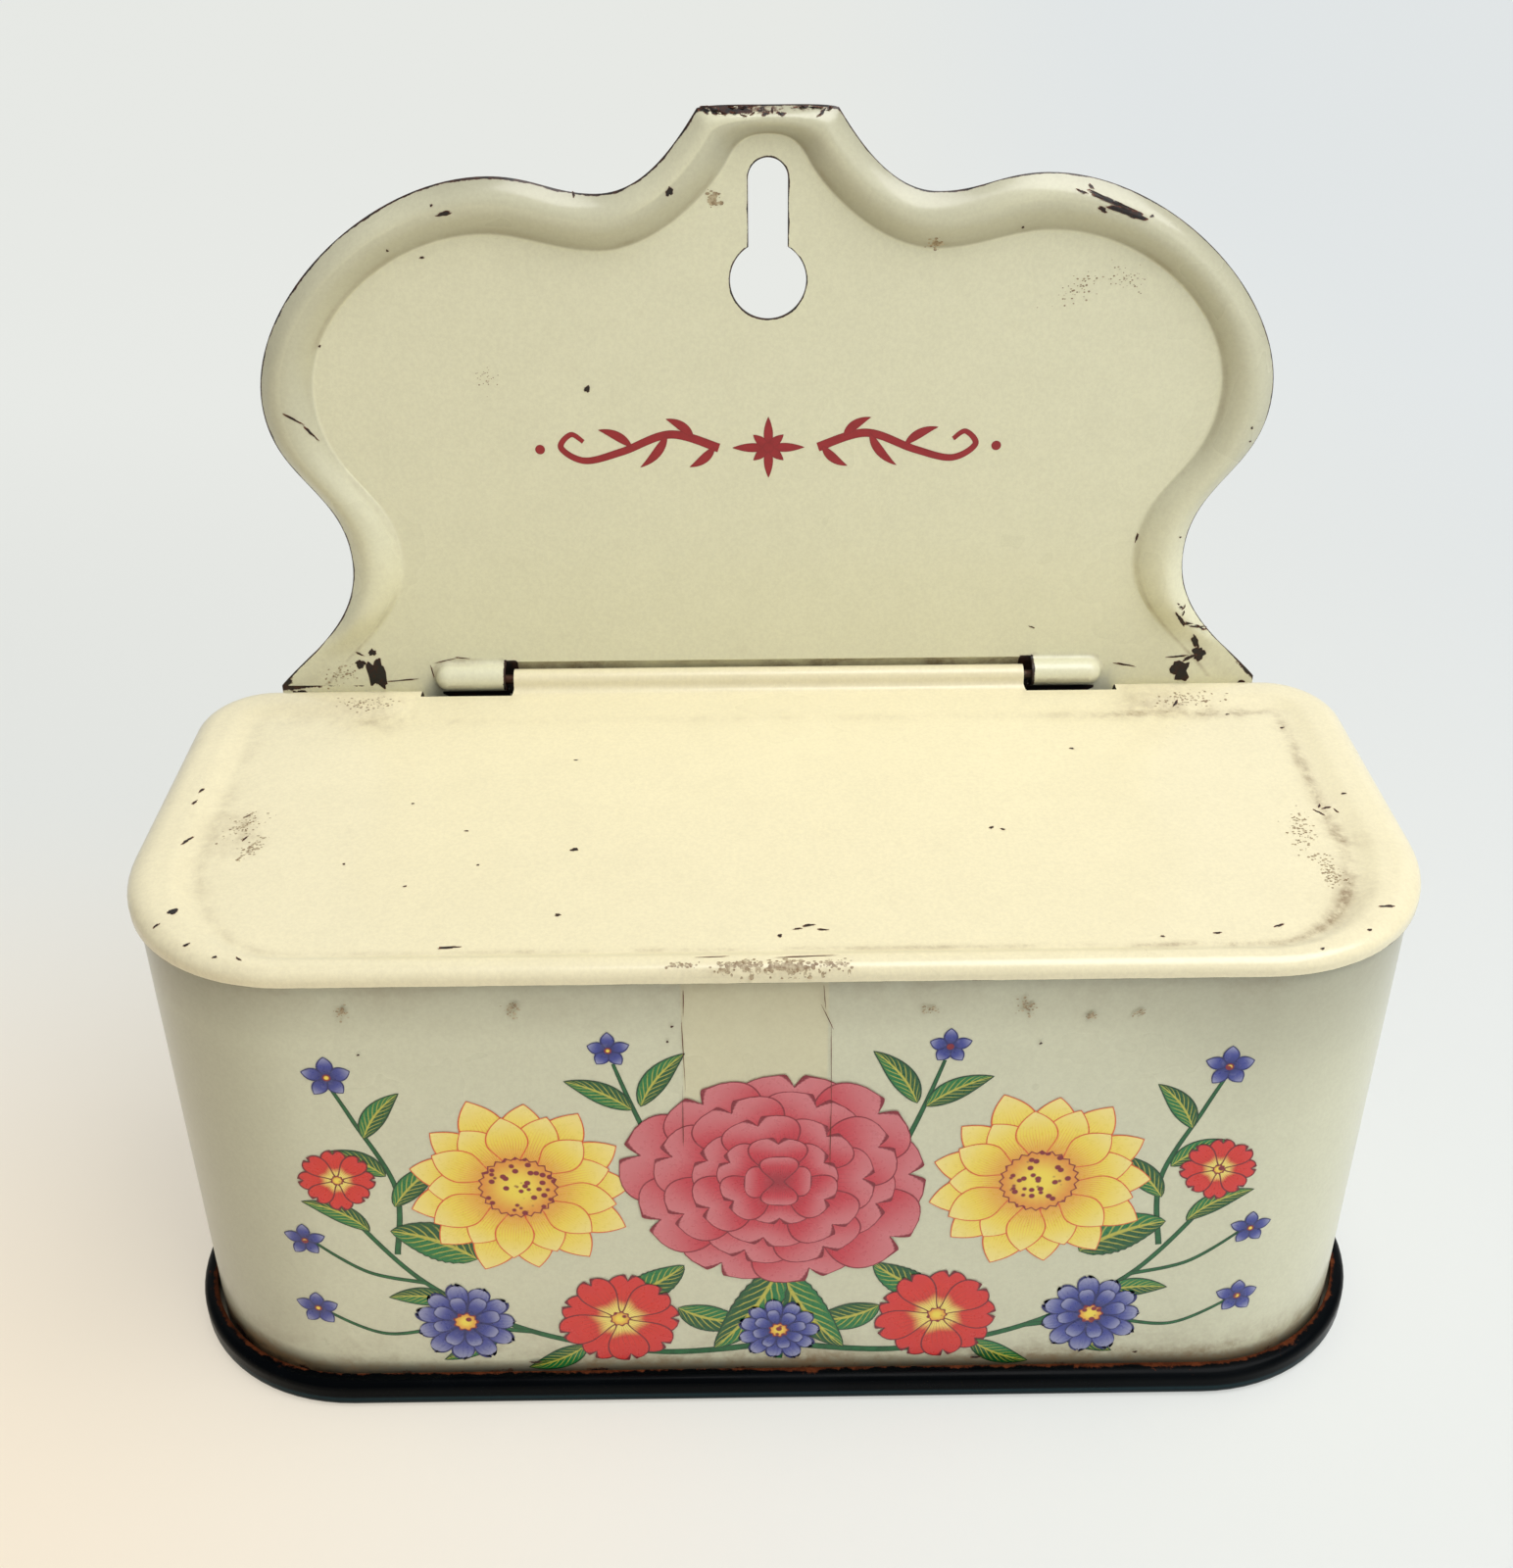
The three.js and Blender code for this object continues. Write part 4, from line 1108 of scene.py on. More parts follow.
class OBJECT_OT_back_plate(PieceOperator, bpy.types.Operator):
    """Pressed back plate with its bead, keyhole, wire pockets and trough"""

    bl_idname = "object.match_back_plate"
    bl_label = "Back plate"

    def build(self, tin, finish):
        skin = Skin("grime", "bare", "film")
        rows = []
        for t in (k / BEAD_BANDS for k in range(BEAD_BANDS + 2)):
            row = []
            for (ox, oz), (ix, iz) in zip(*outlines(tin)):
                x, z = mix(ox, ix, t), mix(oz, iz, t)
                look = self.marks(tin, x, z, t)
                # The film value is painted shade over the bead.
                look["film"] = self.film(tin, ox - ix, oz - iz, z, t)
                row.append(skin.point((x, tin.face - bead_lift(tin, t, z), z), **look))
            rows.append(row)
        skin.grid(rows)
        foot = tin.foot_z - 1.6
        corners = ((-1, foot), (-1, tin.bottom), (1, tin.bottom), (1, foot))
        loop = [skin.point((side * tin.foot_x, tin.face, z)) for side, z in corners]
        loop += [row[-1] for row in rows] + rows[-1][-2:0:-1] + [row[0] for row in reversed(rows)]
        loops = [loop, self.collar(tin, skin, self.keyhole(tin), 1.25)]
        loops.append(self.collar(tin, skin, self.window(tin), 0.3))
        flat = [v for ring in loops for v in ring]
        shapes = [[Vector((v.co.x, v.co.z, 0)) for v in ring] for ring in loops]
        for face in tessellate_polygon(shapes):
            skin.face([flat[i] for i in face])
        self.pockets(tin, skin)
        self.trough(tin, skin)
        skin.weld()
        for face in skin.bm.faces:
            face.normal_update()
            away = face.normal.y
            if away > STEEP or (abs(away) <= STEEP and self.inward(tin, face)):
                face.normal_flip()
        front = cream_lacquer(finish, "plate_cream", 0.98, 0.52)
        materials = [front, cream_lacquer(finish, "plate_back", 0.8, 0.1), cut_edge(finish)]
        skin.finish(
            "back_plate_painted", "root", materials, "cream_plate", "back_plate", tin.sheet, sharp=30
        )

    def inward(self, tin, face):
        """Steep faces of pocket and trough look away from their own axis or towards it."""
        middle = face.calc_center_median() * METRE
        up = face.normal.z * (middle.z - tin.hinge_z - tin.pocket_rise)
        return up < 0 if tin.face > middle.y else up > 0

    def film(self, tin, dx, dz, z, across):
        """Painted shade over the bead, set by which way each slope faces: most on its upper and right
        slopes and under the top edge.
        """
        high = smooth(tin.foot_z + 14, tin.foot_z + 40, z)
        lit = max((0.5 * dx + 0.86 * dz) / hypot(dx, dz), 0)
        left = max(-dx / hypot(dx, dz), 0)
        if across < CREST:
            thin = 0.2 - 0.18 * min(left * 3, 1) * smooth(tin.top - 22, tin.top - 8, z)
            return high * (thin + 0.28 * lit * (CREST - across) / CREST)
        slope = (across - CREST) / (1 - CREST)
        under = 0.12 * smooth(tin.top - 7, tin.top - 3, z) * smooth(0.1, 0.5, slope)
        shade = high * (0.15 + 0.12 * left + 0.36 * lit * slope) + under
        return shade * smooth(1.0, 0.96, across)

    def marks(self, tin, x, z, across):
        """Grime at the foot of the bead, and paint lost along the outline."""
        bare = 1.3 * max(1 - across * (22 if x > 0 else 13), 0)
        if abs(x) < 9.5:
            lost = 0.6 + 0.28 * smooth(1, -7, x)
            bare = max(bare, lost * smooth(tin.top - 0.9, tin.top - 0.1, z))
        reach = tin.foot_z + (2.5 if x < 0 else 4.8)
        if z < reach:
            foot = smooth(reach, tin.foot_z + 0.4, z)
            bare = max(bare, 1.25 * foot * max(1 - across * 4.2, 0))
        soil_and_shade = bell(across, 0.92, 0.05) * (0.34 + 0.3 * smooth(18, 0, z - tin.foot_z))
        soil_and_shade += 0.3 * bell(across, 0.5, 0.25) * smooth(8, 1, z - tin.foot_z)
        return {"grime": soil_and_shade, "bare": bare}

    def keyhole(self, tin):
        meet = asin(tin.slot / tin.hole) / QUARTER
        points = arc(0, tin.top - tin.hole_drop, tin.hole, 1 + meet, 5 - meet, 56)
        return points + arc(0, tin.top - tin.slot_drop - tin.slot, tin.slot, 0, 2, 24)

    def collar(self, tin, skin, points, worn):
        """Narrow band round a hole, worn at its edge; gives back its outer loop."""
        rows = [[], []]
        for i, (x, z) in enumerate(points):
            (ax, az), (bx, bz) = points[i - 1], points[(i + 1) % len(points)]
            size = hypot(bx - ax, bz - az)
            nx, nz = (bz - az) / size, (ax - bx) / size
            rows[0].append(skin.point((x, tin.face, z), bare=worn))
            rows[1].append(skin.point((x + COLLAR * nx, tin.face, z + COLLAR * nz)))
        skin.grid(rows, around=True)
        return rows[1]

    def trough_arc(self, tin):
        deep, high = tin.curl + tin.sheet + 0.4, tin.curl + tin.sheet + 1.15
        first = asin(tin.set_off / deep)
        angles = [mix(first, pi - first, i / 18) for i in range(19)]
        return [(high * cos(a), deep * sin(a) - tin.set_off) for a in angles]

    def pocket_arc(self, tin, fold=0.6):
        """Distances from the pocket's axis and heights over the plate, from foot to top."""
        points = arc(tin.pocket + fold, fold, fold, -1, -2, 6)
        for x, y in arc(0, 0, 1, 0, 1, 10)[1:]:
            points.append((tin.pocket * x, mix(fold, tin.set_off + tin.pocket, y)))
        return points

    def window(self, tin):
        """Edge of the flat plate round the trough and both pockets."""
        high = self.trough_arc(tin)[0][0]
        foot = self.pocket_arc(tin)[0][0]
        z0, z1 = tin.hinge_z, tin.hinge_z + tin.pocket_rise
        start, end = tin.pocket_start, tin.pocket_end - tin.pocket
        near = (start, start + POCKET_LIP, end)
        right = [(start - x, z0 - high) for x in reversed(TROUGH_DARK)]
        right += [(x, z1 - foot) for x in near]
        right += [(end + x, z1 + y) for x, y in arc(0, 0, foot, -1, 1, 24)[1:-1]]
        right += [(x, z1 + foot) for x in reversed(near)]
        right += [(start - x, z0 + high) for x in TROUGH_DARK]
        return right + [(-x, z) for x, z in reversed(right)]

    def pockets(self, tin, skin):
        """Half pipes over the wire, each closed by a quarter of a ball."""
        section = self.pocket_arc(tin)
        whole = section + [(-r, lift) for r, lift in reversed(section[:-1])]
        z1 = tin.hinge_z + tin.pocket_rise
        end = tin.pocket_end - tin.pocket

        # Each pocket darkens towards its foot, and its lower half is darker still as painted shade.
        def spot(x, z, lift, bare, soil_and_shade=0.0):
            grime = 0.35 * max(1 - lift, 0) + soil_and_shade
            return skin.point((x, tin.face - lift, z1 + z), grime=grime, bare=bare)

        for side in (-1, 1):
            rows = []
            for x, bare in ((tin.pocket_start, 1.3), (tin.pocket_start + POCKET_LIP, 0.2), (end, 0.1)):
                rows.append([spot(side * x, r, lift, bare, 0.4 * (r < 0)) for r, lift in whole])
            skin.grid(rows)
            rows = []
            for r, lift in section:
                half_ring = arc(0, 0, r, -1, 1, 24)
                rows.append([spot(side * (end + x), z, lift, 0.1) for x, z in half_ring])
            skin.grid(rows)

    def trough(self, tin, skin):
        """Hollow behind the tongue, painted dark all over as shade, and black at its ends, which reach
        behind the pockets.
        """
        end = tin.pocket_start

        def row(x, bare, least=-1.0):
            section = [(z, deep) for z, deep in self.trough_arc(tin) if deep > least]
            at = [(x, tin.face + deep, tin.hinge_z + z) for z, deep in section]
            # Painted shade: the whole trough is darkened, and its ends are black.
            return [skin.point(spot, grime=0.9, bare=bare) for spot in at]

        places = [(x - end, bare) for x, bare in zip(TROUGH_DARK, (1.4, 1.4, 0.12))]
        places += [(-x, bare) for x, bare in reversed(places)]
        skin.grid([row(x, bare) for x, bare in places])
        # Painted shade: black strips continue behind the pockets, where the gaps beside the tongue lie in
        # shade.
        for side in (-1, 1):
            skin.grid([row(side * x, 1.4, tin.sheet + 0.1) for x in (end, end + 0.9)])


class OBJECT_OT_box_wall(PieceOperator, bpy.types.Operator):
    """Wall of the box: one strip of tinplate wrapped round and lapped on the back plate"""

    bl_idname = "object.match_box_wall"
    bl_label = "Box wall"

    def build(self, tin, finish):
        skin = Skin("grime", "bare", "film")
        fr, rr = tin.front_radius, tin.rear_radius
        cx, cy = tin.half - fr, tin.front + fr
        rx, ry = tin.half - rr, tin.face - rr
        half = [(rx - tin.lap * (1 - i / 3), tin.face) for i in range(3)]
        half += arc(rx, ry, rr, 1, 0, 16)
        half += [(tin.half, mix(ry, cy, i / 10)) for i in range(1, 10)]
        half += arc(cx, cy, fr, 0, -1, 32)
        half += [(mix(cx, 0, i / 16), tin.front) for i in range(1, 17)]
        path = half + [(-x, y) for x, y in reversed(half[:-1])]
        skin.grid([[self.spot(tin, skin, x, y, share) for x, y in path] for share in WALL_LEVELS])
        skin.turn_out(lambda f: -f.calc_center_median().y, (0, -1, 0))
        # Painted shade: the wall's lacquer is the lid's cream made darker and cooler (0.85 and 0.6), for
        # the shade on the upright wall.
        outside = cream_lacquer(finish, "wall_cream", 0.85, 0.6, YELLOWED)
        materials = [outside, bare_tin(finish), cut_edge(finish)]
        skin.finish("box_wall_painted", "root", materials, "printed_wall", "box_body", tin.sheet)

    def spot(self, tin, skin, x, y, share):
        """Point of the wall at a share of its height, with its dirt, wear and painted shade."""
        top = tin.hinge_z + (y - tin.hinge_y) * tan(tin.slope)
        top -= tin.wall_drop / cos(tin.slope)
        top -= 0.35 * tin.fall * smooth(tin.face, tin.front, y)
        z = mix(tin.bottom, top, share)
        grime = 0.75 * smooth(9.5, 4.2, z) + 0.18 * smooth(20, 6, z) + 0.3 * smooth(top - 9, top, z)
        right = smooth(30, 60, x)
        # Painted shade: the film value darkens the top of the wall under the lid, strongest and deepest
        # at the right, and its left end; it also darkens the foot of the wall towards the rim, over a
        # wider band at the corners.
        film = (0.2 + 0.12 * right) * smooth(top - 11 - 14 * right, top - 2, z)
        film += 0.25 * smooth(-50, -72, x)
        reach = 5.9 + 1.8 * smooth(-40, -70, x) + 0.8 * smooth(55, 75, x)
        film += 0.85 * smooth(reach, 4.1, z)
        bare = 0.52 * smooth(5.2, 4.3, z) + 0.5 * (share == 1)
        return skin.point((x, y, z), grime=min(grime, 1), bare=bare, film=film)


class OBJECT_OT_base_pan(PieceOperator, bpy.types.Operator):
    """Base pan: raised bottom and the black rolled rim round the foot of the wall"""

    bl_idname = "object.match_base_pan"
    bl_label = "Base pan"

    def build(self, tin, finish):
        skin = Skin("bare", "sheen")
        outer = tin.rim_proud - tin.sheet / 2
        rows = []
        for offset, z, bare in self.section(tin, outer):
            inside = min(max(-offset / tin.sheet, 0), 1)
            rear = tin.face + tin.sheet + offset - inside * tin.sheet
            radii = tin.front_radius + offset, tin.rear_radius + offset
            plan = rounded_plan(tin.half + offset, tin.front - offset, rear, *radii)
            # Painted highlight and reflection: a thin line 1.6 mm up the outer face, and a band under it.
            sheen = (bell(z, 1.6, 0.22) + 0.4 * smooth(1.7, 1.2, z)) * (offset > outer - 1)
            rows.append([skin.point((x, y, z), bare=bare, sheen=sheen) for x, y in plan])
        skin.grid(rows, around=True)
        skin.face(rows[-1])
        skin.turn_out(lambda f: f.calc_center_median().x, (1, 0, 0))
        materials = [black_enamel(finish), bare_tin(finish, "bottom_tin"), cut_edge(finish)]
        skin.finish("base_pan_enamelled", "root", materials, "black_rim", "base_pan", tin.sheet, 0)

    def section(self, tin, outer):
        """Distance out from the wall, height and wear, from the rim's lip to the bottom."""
        half = tin.sheet / 2
        inner = -tin.sheet - tin.gap - half
        fold, low, high = tin.rim_fold, half, tin.rim_height - half
        rise, bend = tin.panel_rise + half, 0.6
        path = [(tin.gap + half, high, 1.0), (tin.gap + half + 0.35, high, 0.72)]
        for i, (x, z) in enumerate(arc(outer - fold, high - fold, fold, 1, 0, 8)):
            path.append((x, z, 0.45 - 0.05 * i))
        path += [(outer, mix(high - fold, low + fold, i / 8), 0.08) for i in range(1, 8)]
        under = arc(outer - fold, low + fold, fold, 0, -1, 6)
        under += arc(inner + bend, low + bend, bend, -1, -2, 5)
        path += [(x, z, 0.1) for x, z in under]
        panel = arc(inner - fold, rise - fold, fold, 0, 1, 5) + [(inner - 4, rise), (inner - 8, rise)]
        return path + [(x, z, 0) for x, z in panel]


class OBJECT_OT_hinge_wire(PieceOperator, bpy.types.Operator):
    """Straight steel wire on which the lid turns"""

    bl_idname = "object.match_hinge_wire"
    bl_label = "Hinge wire"

    def build(self, tin, finish):
        skin = Skin()
        reach = tin.pocket_end - tin.pocket
        ends = [(-reach, 0.0), (-reach, 0.72), (0.2 - reach, 1.0)]
        rows = []
        for x, share in ends + [(-x, share) for x, share in reversed(ends)]:
            circle = arc(tin.hinge_y, tin.hinge_z, max(tin.wire / 2 * share, 0.001), 0, 4, 24)
            rows.append([skin.point((x, y, z)) for y, z in circle[:-1]])
        skin.grid(rows, around=True)
        bmesh.ops.recalc_face_normals(skin.bm, faces=skin.bm.faces[:])
        skin.finish("hinge_wire_steel", "root", [drawn_wire(finish)], "hinge_steel", "hinge_wire")


class OBJECT_OT_lid(PieceOperator, bpy.types.Operator):
    """Lid: rolled border, shallow recess, two rear humps and the tongue curled on the wire"""

    bl_idname = "object.match_lid"
    bl_label = "Lid"

    def build(self, tin, finish):
        skin = Skin("grime", "bare")
        notch = -(tin.pocket + 0.8)
        self.tray(tin, skin)
        for x in (-tin.hump_start, -tin.tongue, tin.tongue, tin.hump_start):
            self.slice(skin, (x, 0, 0), (1, 0, 0))
        self.slice(skin, (0, notch, 0), (0, 1, 0))
        gone = []
        for face in skin.bm.faces:
            middle = face.calc_center_median() * METRE
            if middle.y > notch and abs(middle.x) < tin.hump_start:
                gone.append(face)
        bmesh.ops.delete(skin.bm, geom=gone, context="FACES")
        self.tongue(tin, skin, notch)
        skin.weld(0.01)
        for face in skin.bm.faces:
            face.normal_update()
        bmesh.ops.recalc_face_normals(skin.bm, faces=skin.bm.faces[:])
        skin.turn_out(lambda f: f.calc_area(), (0, 0, 1))
        turn = Matrix.Rotation(tin.slope, 4, "X")
        move = Matrix.Translation((0, tin.hinge_y / METRE, tin.hinge_z / METRE))
        bmesh.ops.transform(skin.bm, matrix=move @ turn, verts=skin.bm.verts[:])
        top, edge = cream_lacquer(finish, "lid_cream"), cut_edge(finish)
        materials = [top, bare_tin(finish, "lid_inside"), edge]
        materials += [top, cream_lacquer(finish, "tongue_cream", 0.96), edge]
        skin.finish("lid_painted", "lid", materials, "cream_lid", "lid", tin.sheet)

    def tray(self, tin, skin):
        """Skirt, roll, border and recess in rows from the lip to the middle."""
        front, rear = lid_front(tin), tin.lid_rear
        corner = rear - tin.lid_rear_radius
        lip = tin.crest - tin.lid_height
        trim = tin.gap - tin.wall_drop
        fr = tin.lid_front_radius
        stops = [tin.tongue, tin.hump_start - 3.6]
        stops += [tin.hump_start + tin.ramp * i / 8 for i in range(9)]
        insets = [tin.roll * (1 - cos(i / 14 * QUARTER)) for i in range(15)]
        insets += [mix(tin.roll, tin.crest_width, i / 3) for i in range(1, 4)]
        insets += [mix(tin.crest_width, tin.border, i / 10) for i in range(1, 11)]
        insets += [9, 9.5, 10.2, 11.2, 12.6, 14.5, 17, 20]
        rows = []
        for up, inset in [*[(share, 0.0) for share in SKIRT], *[(1, inset) for inset in insets]]:
            plan = rounded_plan(
                tin.lid_half - inset,
                front + inset * tin.narrow,
                rear - inset,
                fr - inset,
                tin.lid_rear_radius - inset,
                stops,
                fr - inset * tin.narrow,
            )
            row = []
            for x, y in plan:
                z = mix(lip, lid_top(tin, x, y, inset), up)
                if z < trim:
                    z = mix(z, trim, smooth(corner - 7, corner, y))
                row.append(skin.point((x, y, z), **self.marks(x, y, inset, up)))
            rows.append(row)
        skin.grid(rows, around=True)
        skin.face(rows[-1])

    def slice(self, skin, at, normal):
        bmesh.ops.bisect_plane(
            skin.bm,
            geom=[*skin.bm.verts, *skin.bm.edges, *skin.bm.faces],
            plane_co=[c / METRE for c in at],
            plane_no=normal,
            dist=0.001 / METRE,
        )

    def marks(self, x, y, inset, up):
        """Dirt lies along the foot of the border, most of it at the right and in the corners."""
        right = smooth(30, 62, x) * smooth(0, -14, y)
        left = smooth(-50, -70, x)
        front = smooth(-48, -56, y) * smooth(-62, -30, x)
        grime = bell(inset, 9.2, 0.9) * min(0.16 + 0.8 * right + 0.1 * left + 0.34 * front, 1)
        grime += bell(inset, 8, 2.6) * (0.34 * right * smooth(-25, -45, y) + 0.12 * left)
        grime += (0.5 if x > 0 else 0.42) * bell(abs(x), 57, 9) * bell(y, -7, 5)
        grime += 0.16 * left * smooth(4, 1, inset) + 0.5 * bell(x, -67, 2.2) * bell(y, -34, 6)
        if y < -50 and inset < 3.4 and (up == 0 or inset > 0):
            grime += 0.85 * bell(x, -2.5, 6.5) * bell(inset, 0.7, 0.7)
        bare = 0.0
        if inset == 0:
            bare = 1.15 if up == 0 else 0.4 if up in SKIRT[:2] else 0.0
        for px, py in LID_WORN:
            bare += 0.75 * bell(x, px, 1.1) * bell(y, py, 1.1)
        return {"grime": min(grime, 1), "bare": min(bare, 1.3)}

    def tongue(self, tin, skin, notch):
        """Panel between the pockets, filleted up, over the wire and down behind it."""
        level = lid_top(tin, 0, notch, tin.border)
        radius = tin.curl + tin.sheet
        fold = 1.2
        back = sqrt((radius + fold) ** 2 - (level + fold) ** 2)
        tilt = atan2(-(level + fold), back) / QUARTER
        section = [(notch, level), *arc(-back, level + fold, fold, -1, tilt, 8)]
        section += arc(0, 0, radius, 2 + tilt, -130 / 90, 24)[1:]
        rows = []
        for i, (y, z) in enumerate(section):
            half = tin.tongue - 0.35 * min(i / 6, 1)
            rows.append([skin.point((x, y, z), grime=0.03) for x in (-half, half)])
        skin.grid(rows, material=3)


class OBJECT_OT_flower_print(PieceOperator, bpy.types.Operator):
    """Garland of flowers and leaves printed round the front of the wall"""

    bl_idname = "object.match_flower_print"
    bl_label = "Flower print"

    def build(self, tin, finish):
        p = Print(lambda s, z, lift: wall_spot(tin, s, z, lift))
        garland(p)
        p.skin.turn_each((0, -1, 0))
        p.skin.finish("flower_print", "root", flower_inks(finish), "printed_wall")


class OBJECT_OT_plate_figure(PieceOperator, bpy.types.Operator):
    """Small red figure printed on the back plate"""

    bl_idname = "object.match_plate_figure"
    bl_label = "Plate figure"

    def build(self, tin, finish):
        p = Print(lambda x, z, lift: (x, tin.face - lift, z))
        plate_figure(p)
        p.skin.turn_each((0, -1, 0))
        red = linear(finish.ornament)
        inks = [flat_ink("figure_red", red, blend(red, BLACK, 0.3))]
        p.skin.finish("plate_figure", "root", inks, "cream_plate")


class OBJECT_OT_flakes(PieceOperator, bpy.types.Operator):
    """Spots of lost paint on the plate, the wall and the lid, and painted shadows under the wire pockets
    """

    bl_idname = "object.match_flakes"
    bl_label = "Paint flakes"

    def build(self, tin, finish):
        materials = [lost_paint_and_shadow(finish), speck_ink(finish)]
        edges = outlines(tin)
        p = Print(lambda x, z, lift: (x, tin.face - plate_lift(tin, edges, x, z) - lift, z), rise=0.002)
        self.painted_pocket_shadows(tin, p)
        self.wear(finish, p, PLATE_FLAKES, PLATE_SMUDGES, (0, -1, 0))
        p.skin.finish("plate_marks", "root", materials, "cream_plate")
        p = Print(lambda s, z, lift: wall_spot(tin, s, z, lift), 0.27, 0.002)
        self.wear(finish, p, WALL_FLAKES, WALL_SMUDGES, (0, -1, 0))
        p.skin.finish("wall_marks", "root", materials, "printed_wall")
        p = Print(lambda x, y, lift: lid_spot(tin, x, y, lift), rise=0.002)
        self.wear(finish, p, LID_FLAKES, LID_SMUDGES, (0, 0, 1))
        p.skin.finish("lid_marks", "lid", materials, "cream_lid")

    def wear(self, finish, p, flakes, smudges, out):
        for i, (x, z, long, wide, angle, strength) in enumerate(smudges):
            stain(p, x, z, long * 1.6, wide * 1.6, angle, strength, finish.seed * 100 + i)
        for i, spot in enumerate(flakes):
            flake(p, *spot, finish.seed * 50 + i, 9 + i % 8)
        p.skin.turn_each(out)

    def painted_pocket_shadows(self, tin, p):
        """Painted shadow: black strip on the plate under each wire pocket."""
        foot = tin.hinge_z + tin.pocket_rise - tin.pocket - 0.55
        start, end = tin.pocket_start - 0.2, tin.pocket_end - 0.6
        deep = (1.9, 1.9, 1.9, 1.8, 1.6, 1.2, 0.4)
        for side in (-1, 1):
            spots = [(side * mix(start, end, i / 6), d) for i, d in enumerate(deep)]
            p.film([[(x, foot - d * k, 0.5, 0.5, 0.0, 1.0) for x, d in spots] for k in (0, 0.5, 1)], 0, 0)


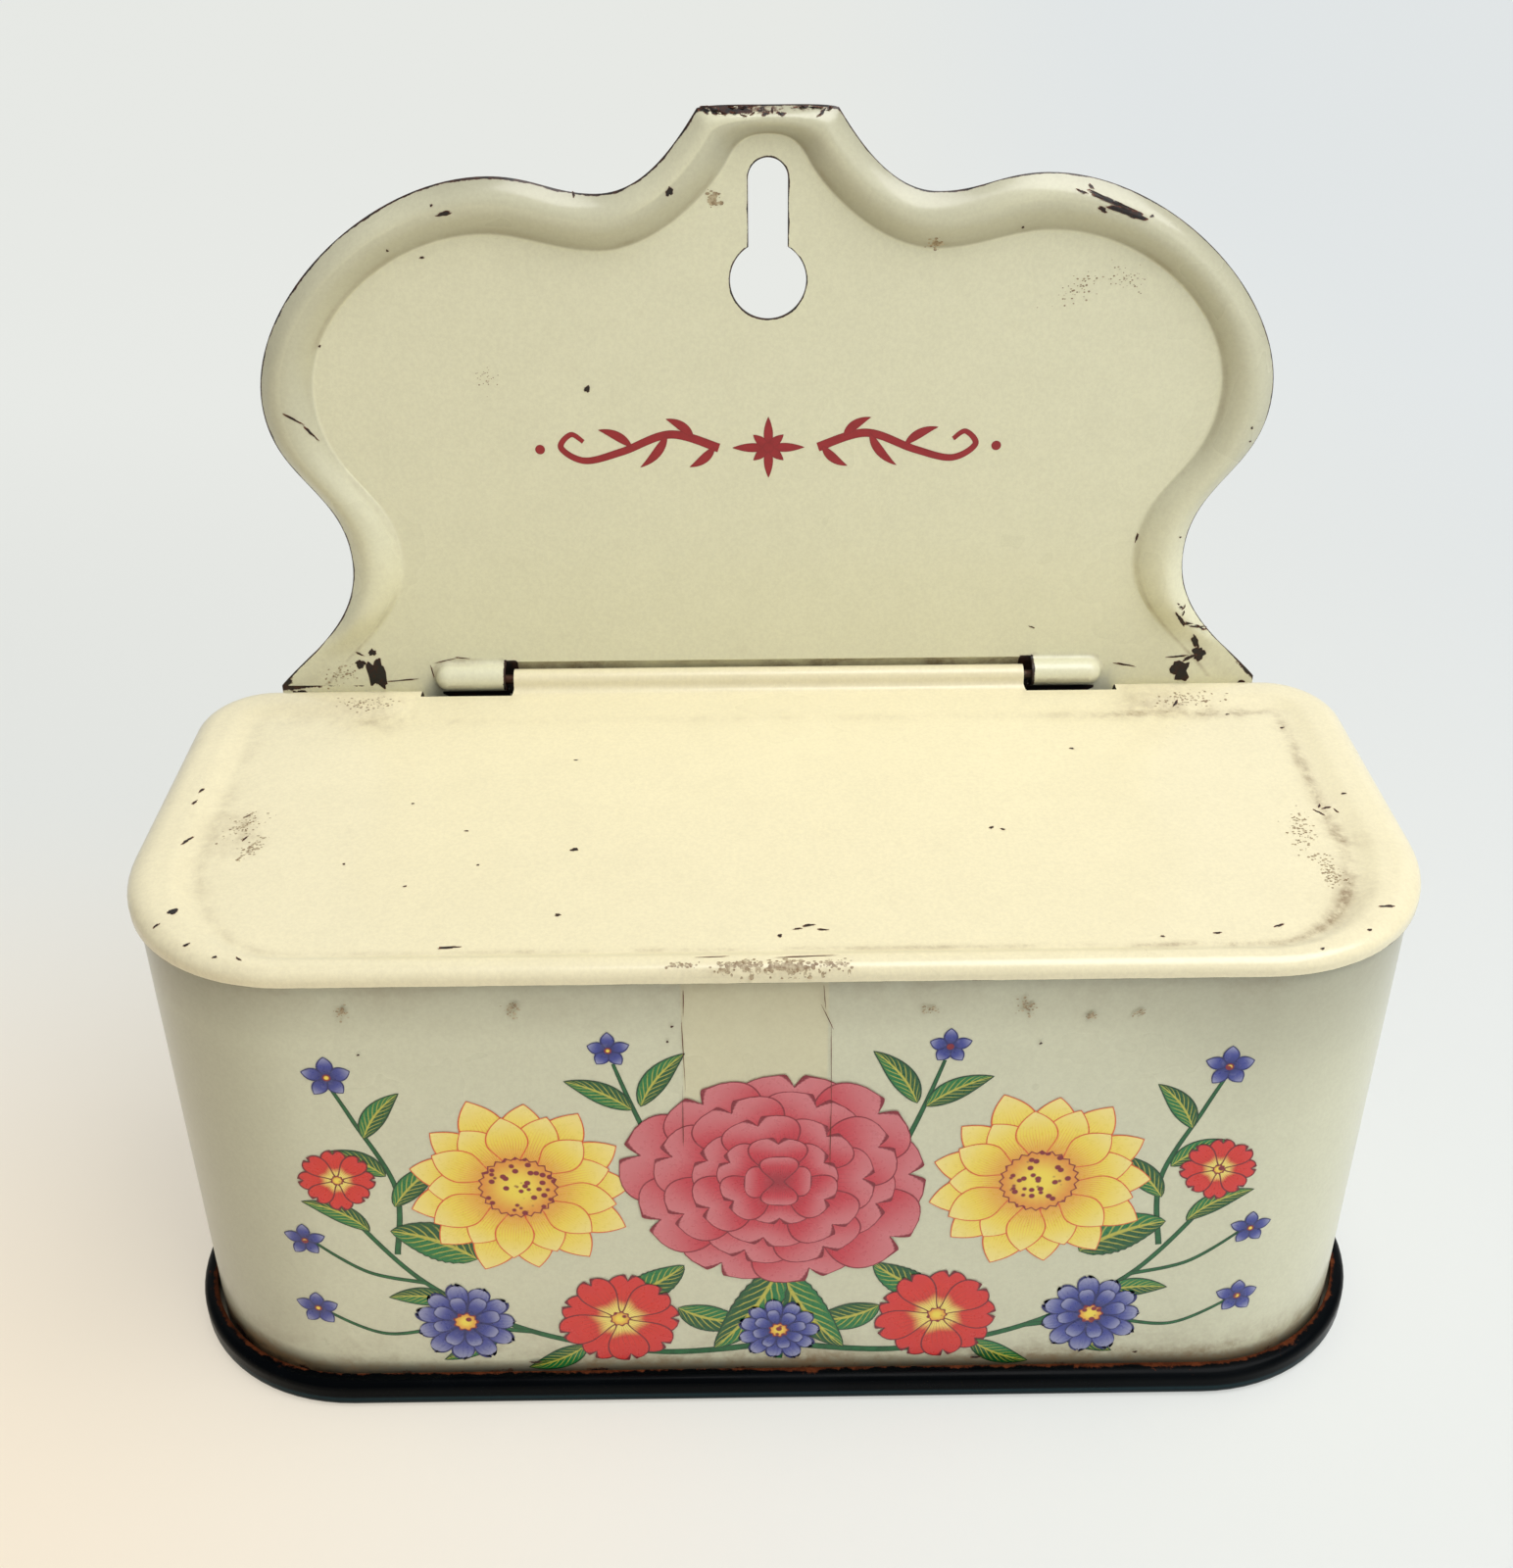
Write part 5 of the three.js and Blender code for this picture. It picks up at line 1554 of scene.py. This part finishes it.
class OBJECT_OT_studio(bpy.types.Operator):
    """Table, background, lamps and the camera of the photograph"""

    bl_idname = "object.match_studio"
    bl_label = "Studio"

    def execute(self, context):
        scene, studio = context.scene, context.scene.match_studio
        self.table(studio)
        self.camera(scene)
        self.lamp("ceiling", (0.34, -0.22, 0.88), (0, 0, 0.05), 0.75, studio.key)
        self.lamp("front", (0.6, -0.85, 0.45), (0, 0, 0.06), 0.7, studio.fill)
        self.world(scene, studio)
        scene.view_settings.view_transform = "Standard"
        return {"FINISHED"}

    def table(self, studio):
        """Table that sweeps up into the background, in metres."""
        profile = [(-1.6, 0.0), (0.9, 0.0), *arc(0.9, 0.5, 0.5, -1, 0, 10)[1:], (1.4, 2.2)]
        mesh = bpy.data.meshes.new("table")
        points = [(x, y, z) for y, z in profile for x in (-2.2, 2.2)]
        faces = [(i, i + 1, i + 3, i + 2) for i in range(0, len(points) - 2, 2)]
        mesh.from_pydata(points, [], faces)
        mesh.shade_smooth()
        mesh.materials.append(self.backdrop(studio))
        link("table", mesh)

    def backdrop(self, studio):
        """White with painted light: warmer at the left front, cooler at the right, and bright to the eye.
        """
        r = Recipe("table_white")
        x, y, _ = r.axes(r.place)
        base = linear(studio.backdrop)
        warm = blend(base, linear((1.0, 0.93, 0.82)), 0.8)
        cool = blend(base, linear((0.87, 0.9, 0.93)), 0.6)
        # Painted light: warm tint at the left front, cool tint at the right.
        near = r.times(r.step(x, 0.04, -0.12), r.step(y, 0.14, -0.06))
        tone = r.tint(r.step(x, 0.02, 0.3, 0, 0.7), r.tint(near, base, warm), cool)
        glow = r.node("Emission", {"Color": tone, "Strength": 0.98})
        rays = r.node("LightPath").node.outputs
        seen = r.math("MAXIMUM", rays["Is Camera Ray"], rays["Is Glossy Ray"])
        seen = r.math("MAXIMUM", seen, rays["Is Transmission Ray"])
        share = r.times(seen, r.step(y, 0.05, 0.45, 0.6, 0.94))
        shown = r.node("MixShader", {0: share, 1: r.shader.outputs[0], 2: glow})
        r.put(r.tree.nodes["Material Output"].inputs["Surface"], shown)
        return r.done(tone, r.rough(r.noise(9, 3), 0.5, 0.6))

    def camera(self, scene):
        """Camera fitted to the outlines of the photograph."""
        data = bpy.data.cameras.new("camera")
        data.sensor_width = SENSOR
        data.lens = FOCAL_SHARE * SENSOR
        data.clip_start, data.clip_end = 0.01, 20
        camera = link("camera", data)
        right = Vector((0.99990421, -0.0127786, -0.00531824))
        up = Vector((0.01091657, 0.4918754, 0.87059717))
        back = -Vector((0.0085091, 0.87057183, -0.49196778))
        turn = Matrix((right, up, back)).transposed().to_4x4()
        camera.matrix_world = Matrix.Translation((-0.003955, -0.18401, 0.17903)) @ turn
        scene.camera = camera

    def lamp(self, name, at, aim, size, watts):
        data = bpy.data.lights.new(name, "AREA")
        data.shape = "SQUARE"
        data.size = size
        data.energy = watts
        lamp = link(name, data)
        lamp.location = at
        lamp.rotation_euler = (Vector(aim) - Vector(at)).to_track_quat("-Z", "Y").to_euler()

    def world(self, scene, studio):
        """Soft light all round, with the backdrop's colour where the camera sees past the table."""
        world = bpy.data.worlds.new("studio")
        world.use_nodes = True
        sky = Nodes(world.node_tree)
        ground = sky.tree.nodes["Background"]
        sky.put(ground.inputs["Color"], WHITE)
        sky.put(ground.inputs["Strength"], 0.29)
        white = sky.node("Background", {"Color": linear(studio.backdrop), "Strength": 1.0})
        rays = sky.node("LightPath").node.outputs
        seen = sky.math("MAXIMUM", rays["Is Camera Ray"], rays["Is Transmission Ray"])
        pick = sky.node("MixShader", {0: seen, 1: ground.outputs[0], 2: white})
        sky.put(sky.tree.nodes["World Output"].inputs["Surface"], pick)
        scene.world = world


PIECES = [
    OBJECT_OT_back_plate,
    OBJECT_OT_box_wall,
    OBJECT_OT_base_pan,
    OBJECT_OT_hinge_wire,
    OBJECT_OT_lid,
    OBJECT_OT_flower_print,
    OBJECT_OT_plate_figure,
    OBJECT_OT_flakes,
]


class VIEW3D_PT_match_holder(bpy.types.Panel):
    """Sizes, colours and build steps of the match holder"""

    bl_label = "Match Holder"
    bl_idname = "VIEW3D_PT_match_holder"
    bl_space_type = "VIEW_3D"
    bl_region_type = "UI"
    bl_category = "Match Holder"

    def draw(self, context):
        for name in GROUPS:
            box = self.layout.box()
            group = getattr(context.scene, name)
            for key in setting_names(group):
                box.prop(group, key)
        for operator in (OBJECT_OT_studio, *PIECES):
            self.layout.operator(operator.bl_idname)


CLASSES = [*GROUPS.values(), *PIECES, OBJECT_OT_studio, VIEW3D_PT_match_holder]


def register():
    for cls in CLASSES:
        bpy.utils.register_class(cls)
    for name, group in GROUPS.items():
        setattr(bpy.types.Scene, name, PointerProperty(type=group))


def unregister():
    for name in GROUPS:
        delattr(bpy.types.Scene, name)
    for cls in reversed(CLASSES):
        bpy.utils.unregister_class(cls)


def main():
    register()
    bpy.ops.object.match_studio()
    for operator in PIECES:
        getattr(bpy.ops.object, operator.bl_idname.split(".")[1])()


if __name__ == "__main__":
    main()
